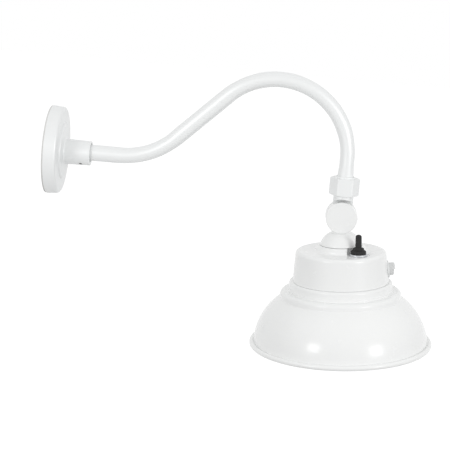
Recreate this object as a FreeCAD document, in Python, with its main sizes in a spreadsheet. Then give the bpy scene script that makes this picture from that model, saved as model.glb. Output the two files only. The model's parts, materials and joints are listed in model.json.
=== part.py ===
import FreeCAD, Part
import math
import os
import Sketcher

# Gooseneck wall sconce: wall canopy, bent tube arm, disc knuckle, driver housing and stepped shade.
#
# Row frame: origin on the wall plane at the centre of the arm's socket, +X out of the wall, +Z up.
# Head frame: origin on the tilt pivot, +Z down the head's axis, +X towards the wall.

PARTS_FOLDER = "parts"

# alias, value in mm or degrees, what it is
SIZES = (
    # fits and clearances
    ("face_gap", 0.05, "between flat faces that turn on each other"),
    ("running_fit", 0.05, "radial, shaft in a bore that it turns in"),
    ("close_fit", 0.1, "radial, screw or tube held in its hole"),
    ("screw_clearance", 0.3, "radial, screw in a plain hole"),
    ("flex_gap", 0.4, "round pieces that move past each other"),
    # wall strap and gasket
    ("gasket_thickness", 2.0, "foam gasket on the wall"),
    ("gasket_band", 3.6, "foam gasket, radial width"),
    ("gasket_inset", 0.5, "foam gasket, inside the canopy's edge"),
    ("strap_thickness", 2.0, "wall strap, sheet thickness"),
    ("strap_width", 20.0, "wall strap, width"),
    ("strap_ear_length", 12.0, "bent ear of the strap, from the wall"),
    ("strap_bend_radius", 2.0, "inside radius of the strap's bends"),
    ("strap_ear_gap", 1.4, "between the strap's ears and the canopy"),
    ("box_screw_spacing", 79.5, "slot centre to slot centre"),
    ("box_slot_length", 15.0, "slot, end to end"),
    ("box_slot_width", 5.0, "slot, width"),
    ("wire_hole_radius", 6.0, "wire way through the strap's middle"),
    ("ground_screw_offset", 17.0, "ground screw, above the strap's middle"),
    ("ground_screw_radius", 2.0, "ground screw, thread"),
    ("ground_head_radius", 4.6, "ground screw, flanged head"),
    ("ground_head_height", 2.6, "ground screw, head height"),
    ("ground_hex_radius", 3.3, "ground screw, head above its flange"),
    ("ground_flange", 0.8, "ground screw, flange thickness"),
    ("ground_slot", 1.0, "ground screw, slot width"),
    # canopy
    ("canopy_diameter", 121.4, "canopy, across its wall edge"),
    ("canopy_taper", 1.0, "canopy, radius lost from wall edge to front edge"),
    ("canopy_depth", 18.8, "canopy's front edge, from the wall"),
    ("canopy_edge_radius", 4.0, "canopy, rounded front edge"),
    ("canopy_wall", 3.0, "canopy, wall thickness"),
    ("face_rise", 0.7, "canopy face, rise from its edge to the raised middle"),
    ("middle_radius", 38.6, "raised middle of the face, radius"),
    ("middle_height", 2.5, "raised middle of the face, height"),
    ("middle_round", 2.2, "raised middle of the face, rounded edge"),
    ("canopy_screw_height", 8.0, "canopy screws, from the wall"),
    ("canopy_screw_radius", 2.0, "canopy screws, thread"),
    ("canopy_screw_length", 9.0, "canopy screws, length"),
    ("hub_root_wall", 6.3, "hub at the canopy face, outside the arm"),
    ("hub_mouth_wall", 5.65, "hub at its mouth, outside the arm"),
    ("hub_reach", 58.0, "hub mouth, from the wall"),
    ("hub_drop", 1.2, "hub's outside, below the arm's axis"),
    ("hub_root_fillet", 2.0, "hub, fillet on the canopy's face"),
    ("hub_edge_radius", 0.8, "hub, rounded mouth edge"),
    ("hub_relief_gap", 1.8, "hub mouth, counterbore round the arm"),
    ("hub_relief_depth", 3.0, "hub mouth, counterbore depth"),
    ("socket_depth", 32.0, "arm in the hub"),
    ("hub_wire_radius", 7.0, "wire way behind the arm"),
    ("set_screw_distance", 45.4, "arm set screw, from the wall"),
    ("set_screw_angle", 28.0, "arm set screw, from straight down towards the front"),
    ("set_screw_radius", 2.5, "arm set screw, thread"),
    ("set_screw_length", 6.2, "arm set screw, length"),
    # arm
    ("tube_diameter", 22.2, "arm tube, outside"),
    ("tube_wall", 1.6, "arm tube, wall"),
    ("arm_reach", 409.5, "arm's end, from the wall"),
    ("crown_height", 122.5, "top of the arm's centre line, above the canopy's centre"),
    ("rise_angle", 44.0, "rising straight, from level"),
    ("low_bend_radius", 110.0, "first bend, centre line"),
    ("high_bend_radius", 100.0, "second bend, centre line"),
    ("pivot_drop", 58.0, "tilt pivot, below the canopy's centre"),
    # compression nut and ferrule
    ("nut_flats", 36.0, "compression nut, across flats"),
    ("nut_height", 24.0, "compression nut, height"),
    ("nut_rise", 30.6, "compression nut's lower face, above the pivot"),
    ("nut_lip", 2.4, "compression nut, lip round the arm"),
    ("nut_chamfer", 0.9, "compression nut, height of its corner chamfers"),
    ("nut_collar_wall", 1.8, "compression nut, wall of its collar round the arm"),
    ("nut_collar", 2.0, "compression nut, height of its collar"),
    ("nut_collar_round", 0.8, "compression nut, rounded edge of its collar"),
    ("nut_bevel", 0.5, "compression nut, bevel of its mouth"),
    ("plain_nut_chamfer", 0.6, "inner nuts, height of their corner chamfers"),
    ("ferrule_height", 3.2, "ferrule on the arm's end"),
    ("ferrule_inset", 1.2, "ferrule, inside the neck's outside"),
    ("ferrule_chamfer", 0.8, "ferrule, chamfer of its upper edge"),
    # knuckle
    ("neck_wall", 2.7, "upper knuckle, wall of its neck outside the arm"),
    ("neck_socket", 12.0, "arm in the upper knuckle's neck"),
    ("disc_diameter", 43.4, "knuckle discs"),
    ("knuckle_thickness", 27.0, "both knuckle discs together"),
    ("disc_edge_radius", 1.2, "knuckle discs, rounded outer edge"),
    ("disc_relief", 4.3, "between the front disc and the neck's hollow end"),
    ("washer_thickness", 0.6, "friction washer between the discs"),
    ("washer_inner", 14.6, "friction washer, inner radius"),
    ("washer_outer", 19.6, "friction washer, outer radius"),
    ("wire_ring_inner", 8.5, "wire way round the pivot bolt, inner radius"),
    ("wire_ring_outer", 14.0, "wire way round the pivot bolt, outer radius"),
    ("wire_ring_depth", 4.5, "wire way round the pivot bolt, depth in each disc"),
    ("wire_bore_radius", 3.0, "wire bore from neck and foot to the ring"),
    ("wire_bore_offset", 4.0, "wire bores, from the plane between the discs"),
    ("wire_bore_start", 11.0, "wire bores, nearest the pivot"),
    ("bolt_radius", 4.0, "pivot bolt, shank"),
    ("bolt_head_radius", 6.5, "pivot bolt, head"),
    ("bolt_head_height", 4.0, "pivot bolt, head height"),
    ("bolt_recess", 5.5, "pivot bolt head's recess in the rear disc"),
    ("bolt_hold", 9.5, "pivot bolt, length in the front disc"),
    ("bolt_washer", 1.0, "spring washer under the bolt head"),
    ("bolt_key", 5.0, "pivot bolt, hex key across flats"),
    ("face_mark_radius", 2.2, "small round mark on the front disc"),
    ("face_mark_depth", 0.3, "small round mark, depth"),
    ("face_mark_across", 12.0, "small round mark, beside the pivot"),
    ("face_mark_drop", 13.5, "small round mark, below the pivot"),
    ("stem_radius", 13.4, "round stem between the front disc and the bell foot"),
    ("stem_sink", 1.0, "round stem, into the bell foot"),
    ("foot_top", 22.3, "bell foot's top, below the pivot"),
    ("foot_neck_radius", 15.3, "bell foot, radius at its top"),
    ("foot_radius", 29.1, "bell foot, radius at its rim"),
    ("foot_curve", 27.0, "bell foot, radius of its dome"),
    ("foot_shoulder", 38.0, "bell foot, where the dome meets the rim"),
    ("foot_bottom", 38.9, "bell foot's rim, below the pivot"),
    ("foot_wall", 3.5, "bell foot, wall at the rim"),
    ("foot_hollow", 5.2, "bell foot, depth of its hollow"),
    ("foot_core_radius", 12.5, "bell foot, core round the nipple"),
    ("casting_draft", 1.0, "narrowing of a cored pocket"),
    # nipple
    ("nipple_radius", 8.0, "threaded nipple, outside"),
    ("nipple_bore", 5.0, "threaded nipple, bore radius"),
    ("nipple_hold", 10.0, "threaded nipple in the foot"),
    ("nipple_washer", 1.0, "lock washer on the nipple"),
    ("nipple_nut", 5.0, "nut on the nipple, height"),
    ("nipple_nut_flats", 24.0, "nut on the nipple, across flats"),
    ("nipple_spare", 1.5, "nipple past its nut"),
    # head
    ("head_tilt", 5.0, "head's axis from plumb, shade outwards"),
    ("boss_top", 39.3, "housing boss, below the pivot"),
    ("boss_top_radius", 31.4, "housing boss, radius at its top"),
    ("boss_foot_radius", 34.4, "housing boss, radius at its foot"),
    ("boss_fillet", 4.0, "housing boss, fillet at its foot"),
    ("boss_edge_radius", 1.0, "housing boss, rounded top edge"),
    ("boss_pocket_radius", 20.0, "cored pocket inside the boss"),
    ("housing_top", 47.4, "housing's flat top, below the pivot"),
    ("housing_top_radius", 62.5, "housing wall at the top"),
    ("housing_edge_radius", 5.0, "housing, rounded top edge"),
    ("housing_bottom", 90.0, "housing's lower edge, below the pivot"),
    ("housing_bottom_radius", 66.7, "housing wall at the bottom"),
    ("housing_wall", 3.0, "housing, wall"),
    ("housing_gasket", 0.4, "gasket between housing and shade"),
    ("housing_gasket_inset", 0.3, "gasket, inside the housing's wall"),
    ("screw_boss_radius", 5.0, "housing's screw bosses"),
    ("screw_circle", 55.0, "shade screws, distance from the axis"),
    # shade
    ("shade_wall", 2.4, "shade, wall"),
    ("ring_radius", 71.7, "shade's upper stepped ring"),
    ("ring_edge_radius", 3.5, "shade's upper ring, rounded edge"),
    ("ring_height", 13.5, "shade's upper ring, height"),
    ("ring_step", 0.9, "step at the upper ring's foot, outwards"),
    ("ring_step_height", 3.0, "step at the upper ring's foot, height"),
    ("shoulder_radius", 84.0, "shade's lower stepped ring"),
    ("shoulder_edge_radius", 5.5, "shade's lower ring, rounded edge"),
    ("shoulder_inner_radius", 2.0, "shade's lower ring, rounded corner inside"),
    ("shoulder_height", 10.0, "shade's lower ring, height"),
    ("dome_fillet", 3.5, "fillet between the lower ring and the flare"),
    ("dome_radius", 81.0, "shade's domed flare, outside"),
    ("dome_height", 62.4, "shade's domed flare, height"),
    ("rim_radius", 121.4, "shade at the bead's root"),
    ("bead_radius", 3.6, "rolled bead, half its thickness"),
    ("bead_start", 45.0, "rolled bead, angle from its root to its middle"),
    ("shade_wire_radius", 20.0, "wire way in the shade's top"),
    ("shade_screw_radius", 2.0, "shade screws, thread"),
    ("shade_screw_length", 12.0, "shade screws, shank"),
    ("shade_screw_head", 3.8, "shade screws, head radius"),
    ("shade_screw_key", 2.5, "shade screws, hex key across flats"),
    ("pan_head_height", 2.4, "pan heads, height"),
    # light engine
    ("board_radius", 46.0, "LED board, radius"),
    ("board_thickness", 1.6, "LED board, thickness"),
    ("board_gap", 0.1, "thermal film between shade and LED board"),
    ("chip_side", 3.5, "LED chip, side"),
    ("chip_height", 0.8, "LED chip, height"),
    ("chip_inner_circle", 19.0, "inner ring of LED chips"),
    ("chip_outer_circle", 36.0, "outer ring of LED chips"),
    ("board_screw_circle", 28.0, "LED board screws, from the axis"),
    ("small_screw_radius", 1.5, "M3 screws, thread"),
    ("small_screw_head", 2.8, "M3 screws, head radius"),
    ("small_head_height", 1.8, "M3 screws, head height"),
    ("small_key", 2.0, "M3 screws, hex key across flats"),
    ("board_screw_length", 3.6, "LED board screws, shank"),
    ("driver_length", 68.0, "LED driver, length"),
    ("driver_width", 36.0, "LED driver, width"),
    ("driver_height", 24.0, "LED driver, height"),
    ("driver_edge_radius", 2.0, "LED driver, rounded edges"),
    ("driver_lug", 9.0, "LED driver, lug length at each end"),
    ("driver_lug_height", 3.0, "LED driver, lug thickness"),
    ("driver_offset", 16.0, "LED driver, behind the axis"),
    ("driver_screw_length", 5.2, "LED driver screws, shank"),
    # lens
    ("lens_radius", 74.4, "lens, outer radius"),
    ("lens_dome_radius", 66.0, "lens, radius of its domed part"),
    ("lens_thickness", 2.4, "lens, thickness"),
    ("lens_bulge", 6.0, "lens, height of its dome"),
    ("lens_gasket", 1.0, "lens gasket, thickness"),
    ("lens_gasket_band", 4.0, "lens gasket, radial width"),
    ("lens_ring_radius", 80.4, "lens ring, outer radius"),
    ("lens_ring_inner", 68.0, "lens ring, inner radius"),
    ("lens_ring_lip", 2.2, "lens ring, thickness under the lens"),
    ("lens_ring_chamfer", 0.8, "lens ring, chamfer of its upper outer edge"),
    ("lens_screw_circle", 77.7, "lens ring screws, from the axis"),
    ("lens_screw_bite", 1.9, "lens ring screws, in the shade"),
    # toggle switch
    ("switch_across", 22.5, "switch, beyond the axis, away from the wall"),
    ("switch_front", 32.8, "switch, in front of the axis"),
    ("spot_face_radius", 15.6, "spot face round the switch"),
    ("spot_face_sink", 0.5, "spot face, below the housing's top"),
    ("bushing_radius", 6.0, "switch bushing, thread"),
    ("bushing_height", 7.0, "switch bushing, above the spot face"),
    ("switch_washer_radius", 12.4, "washer under the boot"),
    ("switch_washer", 2.8, "washer under the boot, thickness"),
    ("switch_nut_flats", 17.0, "nut inside, across flats"),
    ("switch_nut", 2.5, "nut inside, height"),
    ("switch_body_length", 22.0, "switch body, length"),
    ("switch_body_width", 14.0, "switch body, width"),
    ("switch_body_height", 18.0, "switch body, height"),
    ("lever_pivot", 3.2, "lever's pivot, above the spot face"),
    ("lever_ball", 2.9, "lever, ball radius"),
    ("lever_pin", 0.8, "lever, radius of the pin through its ball"),
    ("lever_pin_reach", 0.2, "lever, pin past the ball at each end"),
    ("lever_root", 1.7, "lever, radius at the ball"),
    ("lever_tip", 2.2, "lever, radius at its tip"),
    ("boot_base_radius", 10.4, "boot, base radius"),
    ("boot_base_height", 4.4, "boot, base height"),
    ("boot_tier_radius", 7.2, "boot, pleated tier radius"),
    ("boot_tier_height", 3.8, "boot, pleated tier height"),
    ("boot_bevel", 0.8, "boot, bevelled edges"),
    ("boot_mouth", 6.1, "boot skirt, radius of its mouth"),
    ("boot_finger_radius", 4.1, "boot finger, radius"),
    ("boot_finger_wall", 1.0, "boot finger, wall"),
    ("boot_finger_top", 29.2, "boot finger's tip, above the spot face"),
    ("boot_finger_foot", 9.8, "boot finger's foot, above the spot face"),
    ("boot_tip_radius", 2.9, "boot finger, radius at its tip"),
    ("boot_tip_taper", 2.6, "boot finger, height of its tapered tip"),
    # photocell
    ("cell_level", 73.9, "photocell's axis, below the pivot at the wall"),
    ("cell_barrel_radius", 7.8, "photocell barrel, thread"),
    ("cell_barrel_length", 20.0, "photocell barrel, inside the wall's outer face"),
    ("cell_flange_radius", 12.0, "photocell flange, radius"),
    ("cell_flange", 1.8, "photocell flange, thickness"),
    ("cell_flange_bevel", 0.5, "photocell flange, bevelled edge"),
    ("cell_gasket", 0.8, "photocell gasket, thickness"),
    ("cell_lens_radius", 8.8, "photocell lens, radius"),
    ("cell_upper_height", 8.5, "photocell lens, height of its upper half"),
    ("cell_lower_height", 6.6, "photocell lens, height of its lower half"),
    ("cell_slot_width", 2.0, "photocell lens, slot between its halves"),
    ("cell_slot_floor", 5.0, "photocell lens, slot's floor above the flange"),
    ("cell_lens_round", 2.4, "photocell lens, rounded edge"),
    ("cell_nut_flats", 22.0, "photocell nut, across flats"),
    ("cell_nut", 3.5, "photocell nut, height"),
)

SHADE_SCREW_ANGLES = (45, 135, 225, 315)
BOARD_SCREW_ANGLES = (0, 120, 240)
LENS_SCREW_ANGLES = (0, 90, 180, 270)
INNER_CHIPS = 8
OUTER_CHIPS = 16

# how far a cutting tool reaches past the face that it cuts
PAST = 1.0
# keeps a hexagon's corners inside the round form that chamfers them
CORNER_SPARE = 0.01

doc = FreeCAD.newDocument("GooseneckWallSconce")


# ---- sizes that know their sheet expression ----

class Size:
    """A number together with the sheet expression that gives it."""

    def __init__(self, value, text):
        self.value = float(value)
        self.text = text

    def __add__(self, other):
        other = as_size(other)
        return Size(self.value + other.value, f"({self.text} + {other.text})")

    def __sub__(self, other):
        other = as_size(other)
        return Size(self.value - other.value, f"({self.text} - {other.text})")

    def __mul__(self, other):
        other = as_size(other)
        return Size(self.value * other.value, f"({self.text} * {other.text})")

    def __truediv__(self, other):
        other = as_size(other)
        return Size(self.value / other.value, f"({self.text} / {other.text})")

    def __neg__(self):
        return Size(-self.value, f"(-{self.text})")

    def __radd__(self, other):
        return as_size(other) + self

    def __rsub__(self, other):
        return as_size(other) - self

    def __rmul__(self, other):
        return as_size(other) * self


def as_size(item):
    """A plain number becomes a size with its own digits as the expression."""
    if isinstance(item, Size):
        return item
    return Size(item, repr(float(item)))


def sine(angle):
    angle = as_size(angle)
    return Size(math.sin(math.radians(angle.value)), f"sin({angle.text})")


def cosine(angle):
    angle = as_size(angle)
    return Size(math.cos(math.radians(angle.value)), f"cos({angle.text})")


def tangent(angle):
    angle = as_size(angle)
    return Size(math.tan(math.radians(angle.value)), f"tan({angle.text})")


def arc_tangent(ratio):
    return Size(math.degrees(math.atan(ratio.value)), f"(atan({ratio.text}) / 1 deg)")


def square_root(number):
    return Size(math.sqrt(number.value), f"sqrt({number.text})")


class SizeTable:
    """The sheet's sizes by name."""


def make_sheet():
    sheet = doc.addObject("Spreadsheet::Sheet", "Sizes")
    table = SizeTable()
    for row, (alias, value, meaning) in enumerate(SIZES, start=1):
        sheet.set(f"A{row}", alias)
        sheet.set(f"B{row}", str(value))
        sheet.setAlias(f"B{row}", alias)
        sheet.set(f"C{row}", meaning)
        setattr(table, alias, Size(value, f"Sizes.{alias}"))
    doc.recompute()
    return table


S = make_sheet()


# ---- small tools ----

NODES = []


def bind(thing, **sizes):
    for name, size in sizes.items():
        thing.setExpression(name, as_size(size).text)
    return thing


def placement_text(base, axis=(0, 0, 1), angle=0):
    spots = "; ".join(as_size(item).text for item in base)
    way = "; ".join(str(item) for item in axis)
    turn = as_size(angle).text
    return (f"create(<<placement>>; create(<<vector>>; {spots}); "
            f"create(<<rotation>>; create(<<vector>>; {way}); {turn}))")


def put(thing, base=(0, 0, 0), axis=(0, 0, 1), angle=0):
    """Places a tool solid inside the frame of the sub-part that it belongs to."""
    thing.setExpression("Placement", placement_text(base, axis, angle))
    return thing


def make_frame(name, base, axis=(0, 0, 1), angle=0, parent=None):
    frame = doc.addObject("App::FeaturePython", name)
    frame.addProperty("App::PropertyPlacement", "Frame")
    text = placement_text(base, axis, angle)
    if parent:
        text = f"{parent}.Frame * {text}"
    frame.setExpression("Frame", text)
    return name


def cylinder(name, radius, height, base=(0, 0, 0), axis=(0, 0, 1), angle=0):
    thing = doc.addObject("Part::Cylinder", name)
    bind(thing, Radius=radius, Height=height)
    return put(thing, base, axis, angle)


def box(name, sides, base=(0, 0, 0), axis=(0, 0, 1), angle=0):
    thing = doc.addObject("Part::Box", name)
    bind(thing, Length=sides[0], Width=sides[1], Height=sides[2])
    return put(thing, base, axis, angle)


def hexagon(name, flats, height, base=(0, 0, 0), axis=(0, 0, 1), angle=0):
    """A six-sided prism given across its flats."""
    thing = doc.addObject("Part::Prism", name)
    thing.Polygon = 6
    bind(thing, Circumradius=as_size(flats) / (2 * cosine(30)), Height=height)
    return put(thing, base, axis, angle)


def join(name, things):
    fused = doc.addObject("Part::MultiFuse", name)
    fused.Shapes = things
    fused.Refine = True
    return fused


def cut(name, base, tools):
    if len(tools) > 1:
        tool = doc.addObject("Part::MultiFuse", name + "_tools")
        tool.Shapes = tools
    else:
        tool = tools[0]
    result = doc.addObject("Part::Cut", name)
    result.Base = base
    result.Tool = tool
    return result


def origin_plane(body, role):
    for item in body.Origin.OriginFeatures:
        if item.Role == role:
            return item
    raise ValueError(role)


def new_sketch(body, name, role):
    sketch = body.newObject("Sketcher::SketchObject", name)
    sketch.AttachmentSupport = [(origin_plane(body, role), "")]
    sketch.MapMode = "FlatFace"
    return sketch


def hold(sketch, kind, geometry, point, size):
    """Fixes one coordinate of a point from the sketch's origin."""
    size = as_size(size)
    if abs(size.value) < 1e-9:
        axis = -2 if kind == "DistanceX" else -1
        sketch.addConstraint(Sketcher.Constraint("PointOnObject", geometry, point, axis))
        return
    number = sketch.addConstraint(Sketcher.Constraint(kind, -1, 1, geometry, point, size.value))
    sketch.setExpression(f"Constraints[{number}]", size.text)


def arc_between(start, end, radius, side):
    """An arc from start to end; side is +1 where its centre lies left of the way."""
    middle = (start + end) * 0.5
    way = end - start
    half = way.Length / 2
    left = FreeCAD.Vector(-way.y, way.x, 0)
    left.normalize()
    centre = middle + left * (side * math.sqrt(max(radius * radius - half * half, 0)))
    first = math.atan2(start.y - centre.y, start.x - centre.x)
    last = math.atan2(end.y - centre.y, end.x - centre.x)
    circle = Part.Circle(centre, FreeCAD.Vector(0, 0, 1), radius)
    if side > 0:
        return Part.ArcOfCircle(circle, first, last)
    return Part.ArcOfCircle(circle, last, first)


def outline(sketch, corners, arcs=None):
    """A closed outline; each corner is held by two sizes, and arcs names the curved sides.

    arcs maps the number of a side, counted from its first corner, to (radius, side).
    """
    arcs = arcs or {}
    spots = [FreeCAD.Vector(as_size(x).value, as_size(y).value, 0) for x, y in corners]
    first_points = []
    last_points = []
    base = sketch.GeometryCount
    for number, start in enumerate(spots):
        end = spots[(number + 1) % len(spots)]
        if number in arcs:
            radius, side = arcs[number]
            radius = as_size(radius)
            sketch.addGeometry(arc_between(start, end, radius.value, side))
            constraint = sketch.addConstraint(
                Sketcher.Constraint("Radius", base + number, radius.value))
            sketch.setExpression(f"Constraints[{constraint}]", radius.text)
            first_points.append(1 if side > 0 else 2)
            last_points.append(2 if side > 0 else 1)
        else:
            sketch.addGeometry(Part.LineSegment(start, end))
            first_points.append(1)
            last_points.append(2)
    for number, (x, y) in enumerate(corners):
        before = (number - 1) % len(corners)
        sketch.addConstraint(Sketcher.Constraint(
            "Coincident", base + before, last_points[before], base + number, first_points[number]))
        hold(sketch, "DistanceX", base + number, first_points[number], x)
        hold(sketch, "DistanceY", base + number, first_points[number], y)


def ring_sketch(sketch, radii, centre=(0, 0)):
    """Concentric circles, each held by its radius and its centre."""
    spot = FreeCAD.Vector(as_size(centre[0]).value, as_size(centre[1]).value, 0)
    for radius in radii:
        radius = as_size(radius)
        number = sketch.addGeometry(Part.Circle(spot, FreeCAD.Vector(0, 0, 1), radius.value))
        constraint = sketch.addConstraint(Sketcher.Constraint("Radius", number, radius.value))
        sketch.setExpression(f"Constraints[{constraint}]", radius.text)
        hold(sketch, "DistanceX", number, 3, centre[0])
        hold(sketch, "DistanceY", number, 3, centre[1])


def turned(name, corners, arcs=None, about="Z"):
    """A body turned about its own X or Z axis from (radius, height) or (distance, radius) corners."""
    body = doc.addObject("PartDesign::Body", name)
    role, axis = ("XZ_Plane", "V_Axis") if about == "Z" else ("XY_Plane", "H_Axis")
    sketch = new_sketch(body, name + "_outline", role)
    outline(sketch, corners, arcs)
    revolution = body.newObject("PartDesign::Revolution", name + "_turn")
    revolution.Profile = sketch
    revolution.ReferenceAxis = (sketch, [axis])
    revolution.Angle = 360
    doc.recompute()
    return body


def pad_sketch(body, name, sketch, length, both_ways=False, reverse=False):
    pad = body.newObject("PartDesign::Pad", name)
    pad.Profile = sketch
    pad.Midplane = both_ways
    pad.Reversed = reverse
    bind(pad, Length=length)
    doc.recompute()
    return pad


def screw(name, radius, length, head_radius, head_height, key):
    """A screw along Z: head above its seat at 0, shank below, hexagon key in the head."""
    body = turned(name + "_turned", (
        (0, -length), (radius, -length), (radius, 0), (head_radius, 0),
        (head_radius, head_height), (0, head_height)))
    socket = hexagon(name + "_socket", key, head_height, (0, 0, head_height / 2))
    return cut(name, body, [socket])


def grub_screw(name, radius, length):
    """A headless screw along Z from 0, with a hexagon key in its outer end."""
    shank = cylinder(name + "_shank", radius, length)
    socket = hexagon(name + "_socket", radius, length, (0, 0, length * 0.6))
    return cut(name, shank, [socket])


def ring(name, inner, outer, height, about="Z", start=0):
    """A flat ring from its start along its axis."""
    if about == "Z":
        return turned(name, (
            (inner, start), (outer, start), (outer, start + height), (inner, start + height)))
    return turned(name, ((start, inner), (start + height, inner), (start + height, outer), (start, outer)),
                  about="X")


def hex_blank(name, flats, height, chamfer):
    """A hexagon prism along Z with its corners chamfered at both ends."""
    prism = hexagon(name + "_prism", flats, height)
    half = as_size(flats) / 2
    corner = half / cosine(30) + CORNER_SPARE
    form = turned(name + "_form", (
        (0, 0), (half, 0), (corner, chamfer), (corner, height - chamfer), (half, height), (0, height)))
    blank = doc.addObject("Part::Common", name + "_blank")
    blank.Base = prism
    blank.Tool = form
    return blank


def hex_nut(name, flats, height, bore):
    """A hexagon nut along Z with chamfered corners and a plain bore."""
    hole = cylinder(name + "_hole", bore, height + 2 * PAST, (0, 0, -PAST))
    return cut(name, hex_blank(name, flats, height, S.plain_nut_chamfer), [hole])


def stand(thing, label, frame, base=(0, 0, 0), axis=(0, 0, 1), angle=0):
    """Names a finished sub-part and stands it at a place inside a frame."""
    thing.Label = label
    thing.setExpression("Placement", f"{frame}.Frame * {placement_text(base, axis, angle)}")
    NODES.append(thing)
    return thing


def around(radius, degrees):
    return radius * math.cos(math.radians(degrees)), radius * math.sin(math.radians(degrees))


# ---- sizes that several pieces share ----

canopy_radius = S.canopy_diameter / 2
canopy_front_radius = canopy_radius - S.canopy_taper
tube_radius = S.tube_diameter / 2
arm_seat = S.hub_reach - S.socket_depth
hub_root_radius = tube_radius + S.hub_root_wall
neck_radius = tube_radius + S.neck_wall
neck_top = S.nut_rise + S.nut_height - S.nut_lip - S.ferrule_height
arm_end = neck_top - S.neck_socket
disc_radius = S.disc_diameter / 2
disc_face = S.washer_thickness / 2 + S.face_gap
disc_back = S.knuckle_thickness / 2
disc_thickness = disc_back - disc_face
nipple_hole = S.nipple_radius + S.close_fit
nipple_top = S.foot_bottom - S.nipple_hold
boss_ceiling = S.boss_top + S.housing_wall
nipple_end = boss_ceiling + S.nipple_washer + S.nipple_nut + S.nipple_spare
shade_top = S.housing_bottom + S.housing_gasket
shade_under = shade_top + S.shade_wall
shoulder_top = shade_top + S.ring_height
shoulder_under = shoulder_top + S.shade_wall
dome_start = shoulder_top + S.shoulder_height
dome_end = dome_start + S.dome_height
board_under = shade_under + S.board_gap + S.board_thickness
lens_top = shoulder_under + S.lens_gasket
lens_under = lens_top + S.lens_thickness
lens_ring_under = lens_under + S.face_gap + S.lens_ring_lip
spot_level = S.housing_top + S.spot_face_sink
panel_thickness = S.housing_wall - S.spot_face_sink
wall_slope = (S.housing_bottom_radius - S.housing_top_radius) / (S.housing_bottom - S.housing_top)
cell_wall_radius = S.housing_top_radius + (S.cell_level - S.housing_top) * wall_slope
cell_flat = S.cell_flange_radius * S.cell_flange_radius / (2 * cell_wall_radius) + S.face_gap

make_frame("WallFrame", (0, 0, 0))
make_frame("SwivelFrame", (S.arm_reach, 0, -S.pivot_drop))
make_frame("HeadFrame", (S.arm_reach, 0, -S.pivot_drop), (0, 1, 0), 180 - S.head_tilt)
make_frame("SwitchFrame", (-S.switch_across, -S.switch_front, spot_level), (1, 0, 0), 180, "HeadFrame")
make_frame("CellFrame", (-(cell_wall_radius - cell_flat), 0, S.cell_level), (0, 1, 0),
           -(90 + arc_tangent(wall_slope)), "HeadFrame")


# ---- wall strap, gasket and canopy ----

def make_strap():
    """Slotted sheet strap with an ear bent out of the wall at each end."""
    inner = S.strap_bend_radius
    outer = inner + S.strap_thickness
    end = canopy_front_radius - S.canopy_wall - S.strap_ear_gap
    bend = end - outer
    thick = S.strap_thickness
    ear = S.strap_ear_length
    body = doc.addObject("PartDesign::Body", "StrapBody")
    sketch = new_sketch(body, "StrapSection", "XZ_Plane")
    outline(sketch, (
        (0, -bend), (0, bend), (outer, end), (ear, end), (ear, end - thick), (outer, end - thick),
        (thick, bend), (thick, -bend), (outer, thick - end), (ear, thick - end), (ear, -end), (outer, -end)),
        {1: (outer, -1), 5: (inner, 1), 7: (inner, 1), 11: (outer, -1)})
    pad_sketch(body, "StrapPad", sketch, S.strap_width, both_ways=True)
    tools = []
    for number, way in enumerate((-1, 1)):
        middle = S.box_screw_spacing / 2 * way
        half = (S.box_slot_length - S.box_slot_width) / 2
        tools.append(box(f"Slot{number}", (4 * thick, S.box_slot_width, 2 * half),
                         (-thick, -S.box_slot_width / 2, middle - half)))
        for side in (-1, 1):
            tools.append(cylinder(f"SlotEnd{number}{side + 1}", S.box_slot_width / 2, 4 * thick,
                                  (-thick, 0, middle + side * half), (0, 1, 0), 90))
    tools.append(cylinder("StrapWireHole", S.wire_hole_radius, 4 * thick, (-thick, 0, 0), (0, 1, 0), 90))
    tools.append(cylinder("GroundHole", S.ground_screw_radius + S.close_fit, 4 * thick,
                          (-thick, 0, S.ground_screw_offset), (0, 1, 0), 90))
    tools.append(cylinder("EarHoles", S.canopy_screw_radius + S.close_fit, 2 * end + 2 * PAST,
                          (S.canopy_screw_height, 0, -end - PAST)))
    stand(cut("Strap", body, tools), "wall_strap", "WallFrame")


def make_ground_screw():
    """Flanged and slotted screw through the strap, turned about the way out of the wall."""
    seat = S.strap_thickness
    flange = seat + S.ground_flange
    top = seat + S.ground_head_height
    body = turned("GroundTurned", (
        (0, 0), (top, 0), (top, S.ground_hex_radius), (flange, S.ground_hex_radius),
        (flange, S.ground_head_radius), (seat, S.ground_head_radius), (seat, S.ground_screw_radius),
        (0, S.ground_screw_radius)), about="X")
    slot = box("GroundSlot", (S.ground_head_height, 2 * S.ground_head_radius, S.ground_slot),
               (flange, -S.ground_head_radius, -S.ground_slot / 2))
    stand(cut("GroundScrew", body, [slot]), "ground_screw", "WallFrame", (0, 0, S.ground_screw_offset))


def make_wall_gasket():
    outer = canopy_radius - S.gasket_inset
    stand(ring("WallGasket", outer - S.gasket_band, outer, S.gasket_thickness, "X"),
          "wall_gasket", "WallFrame")


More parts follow.
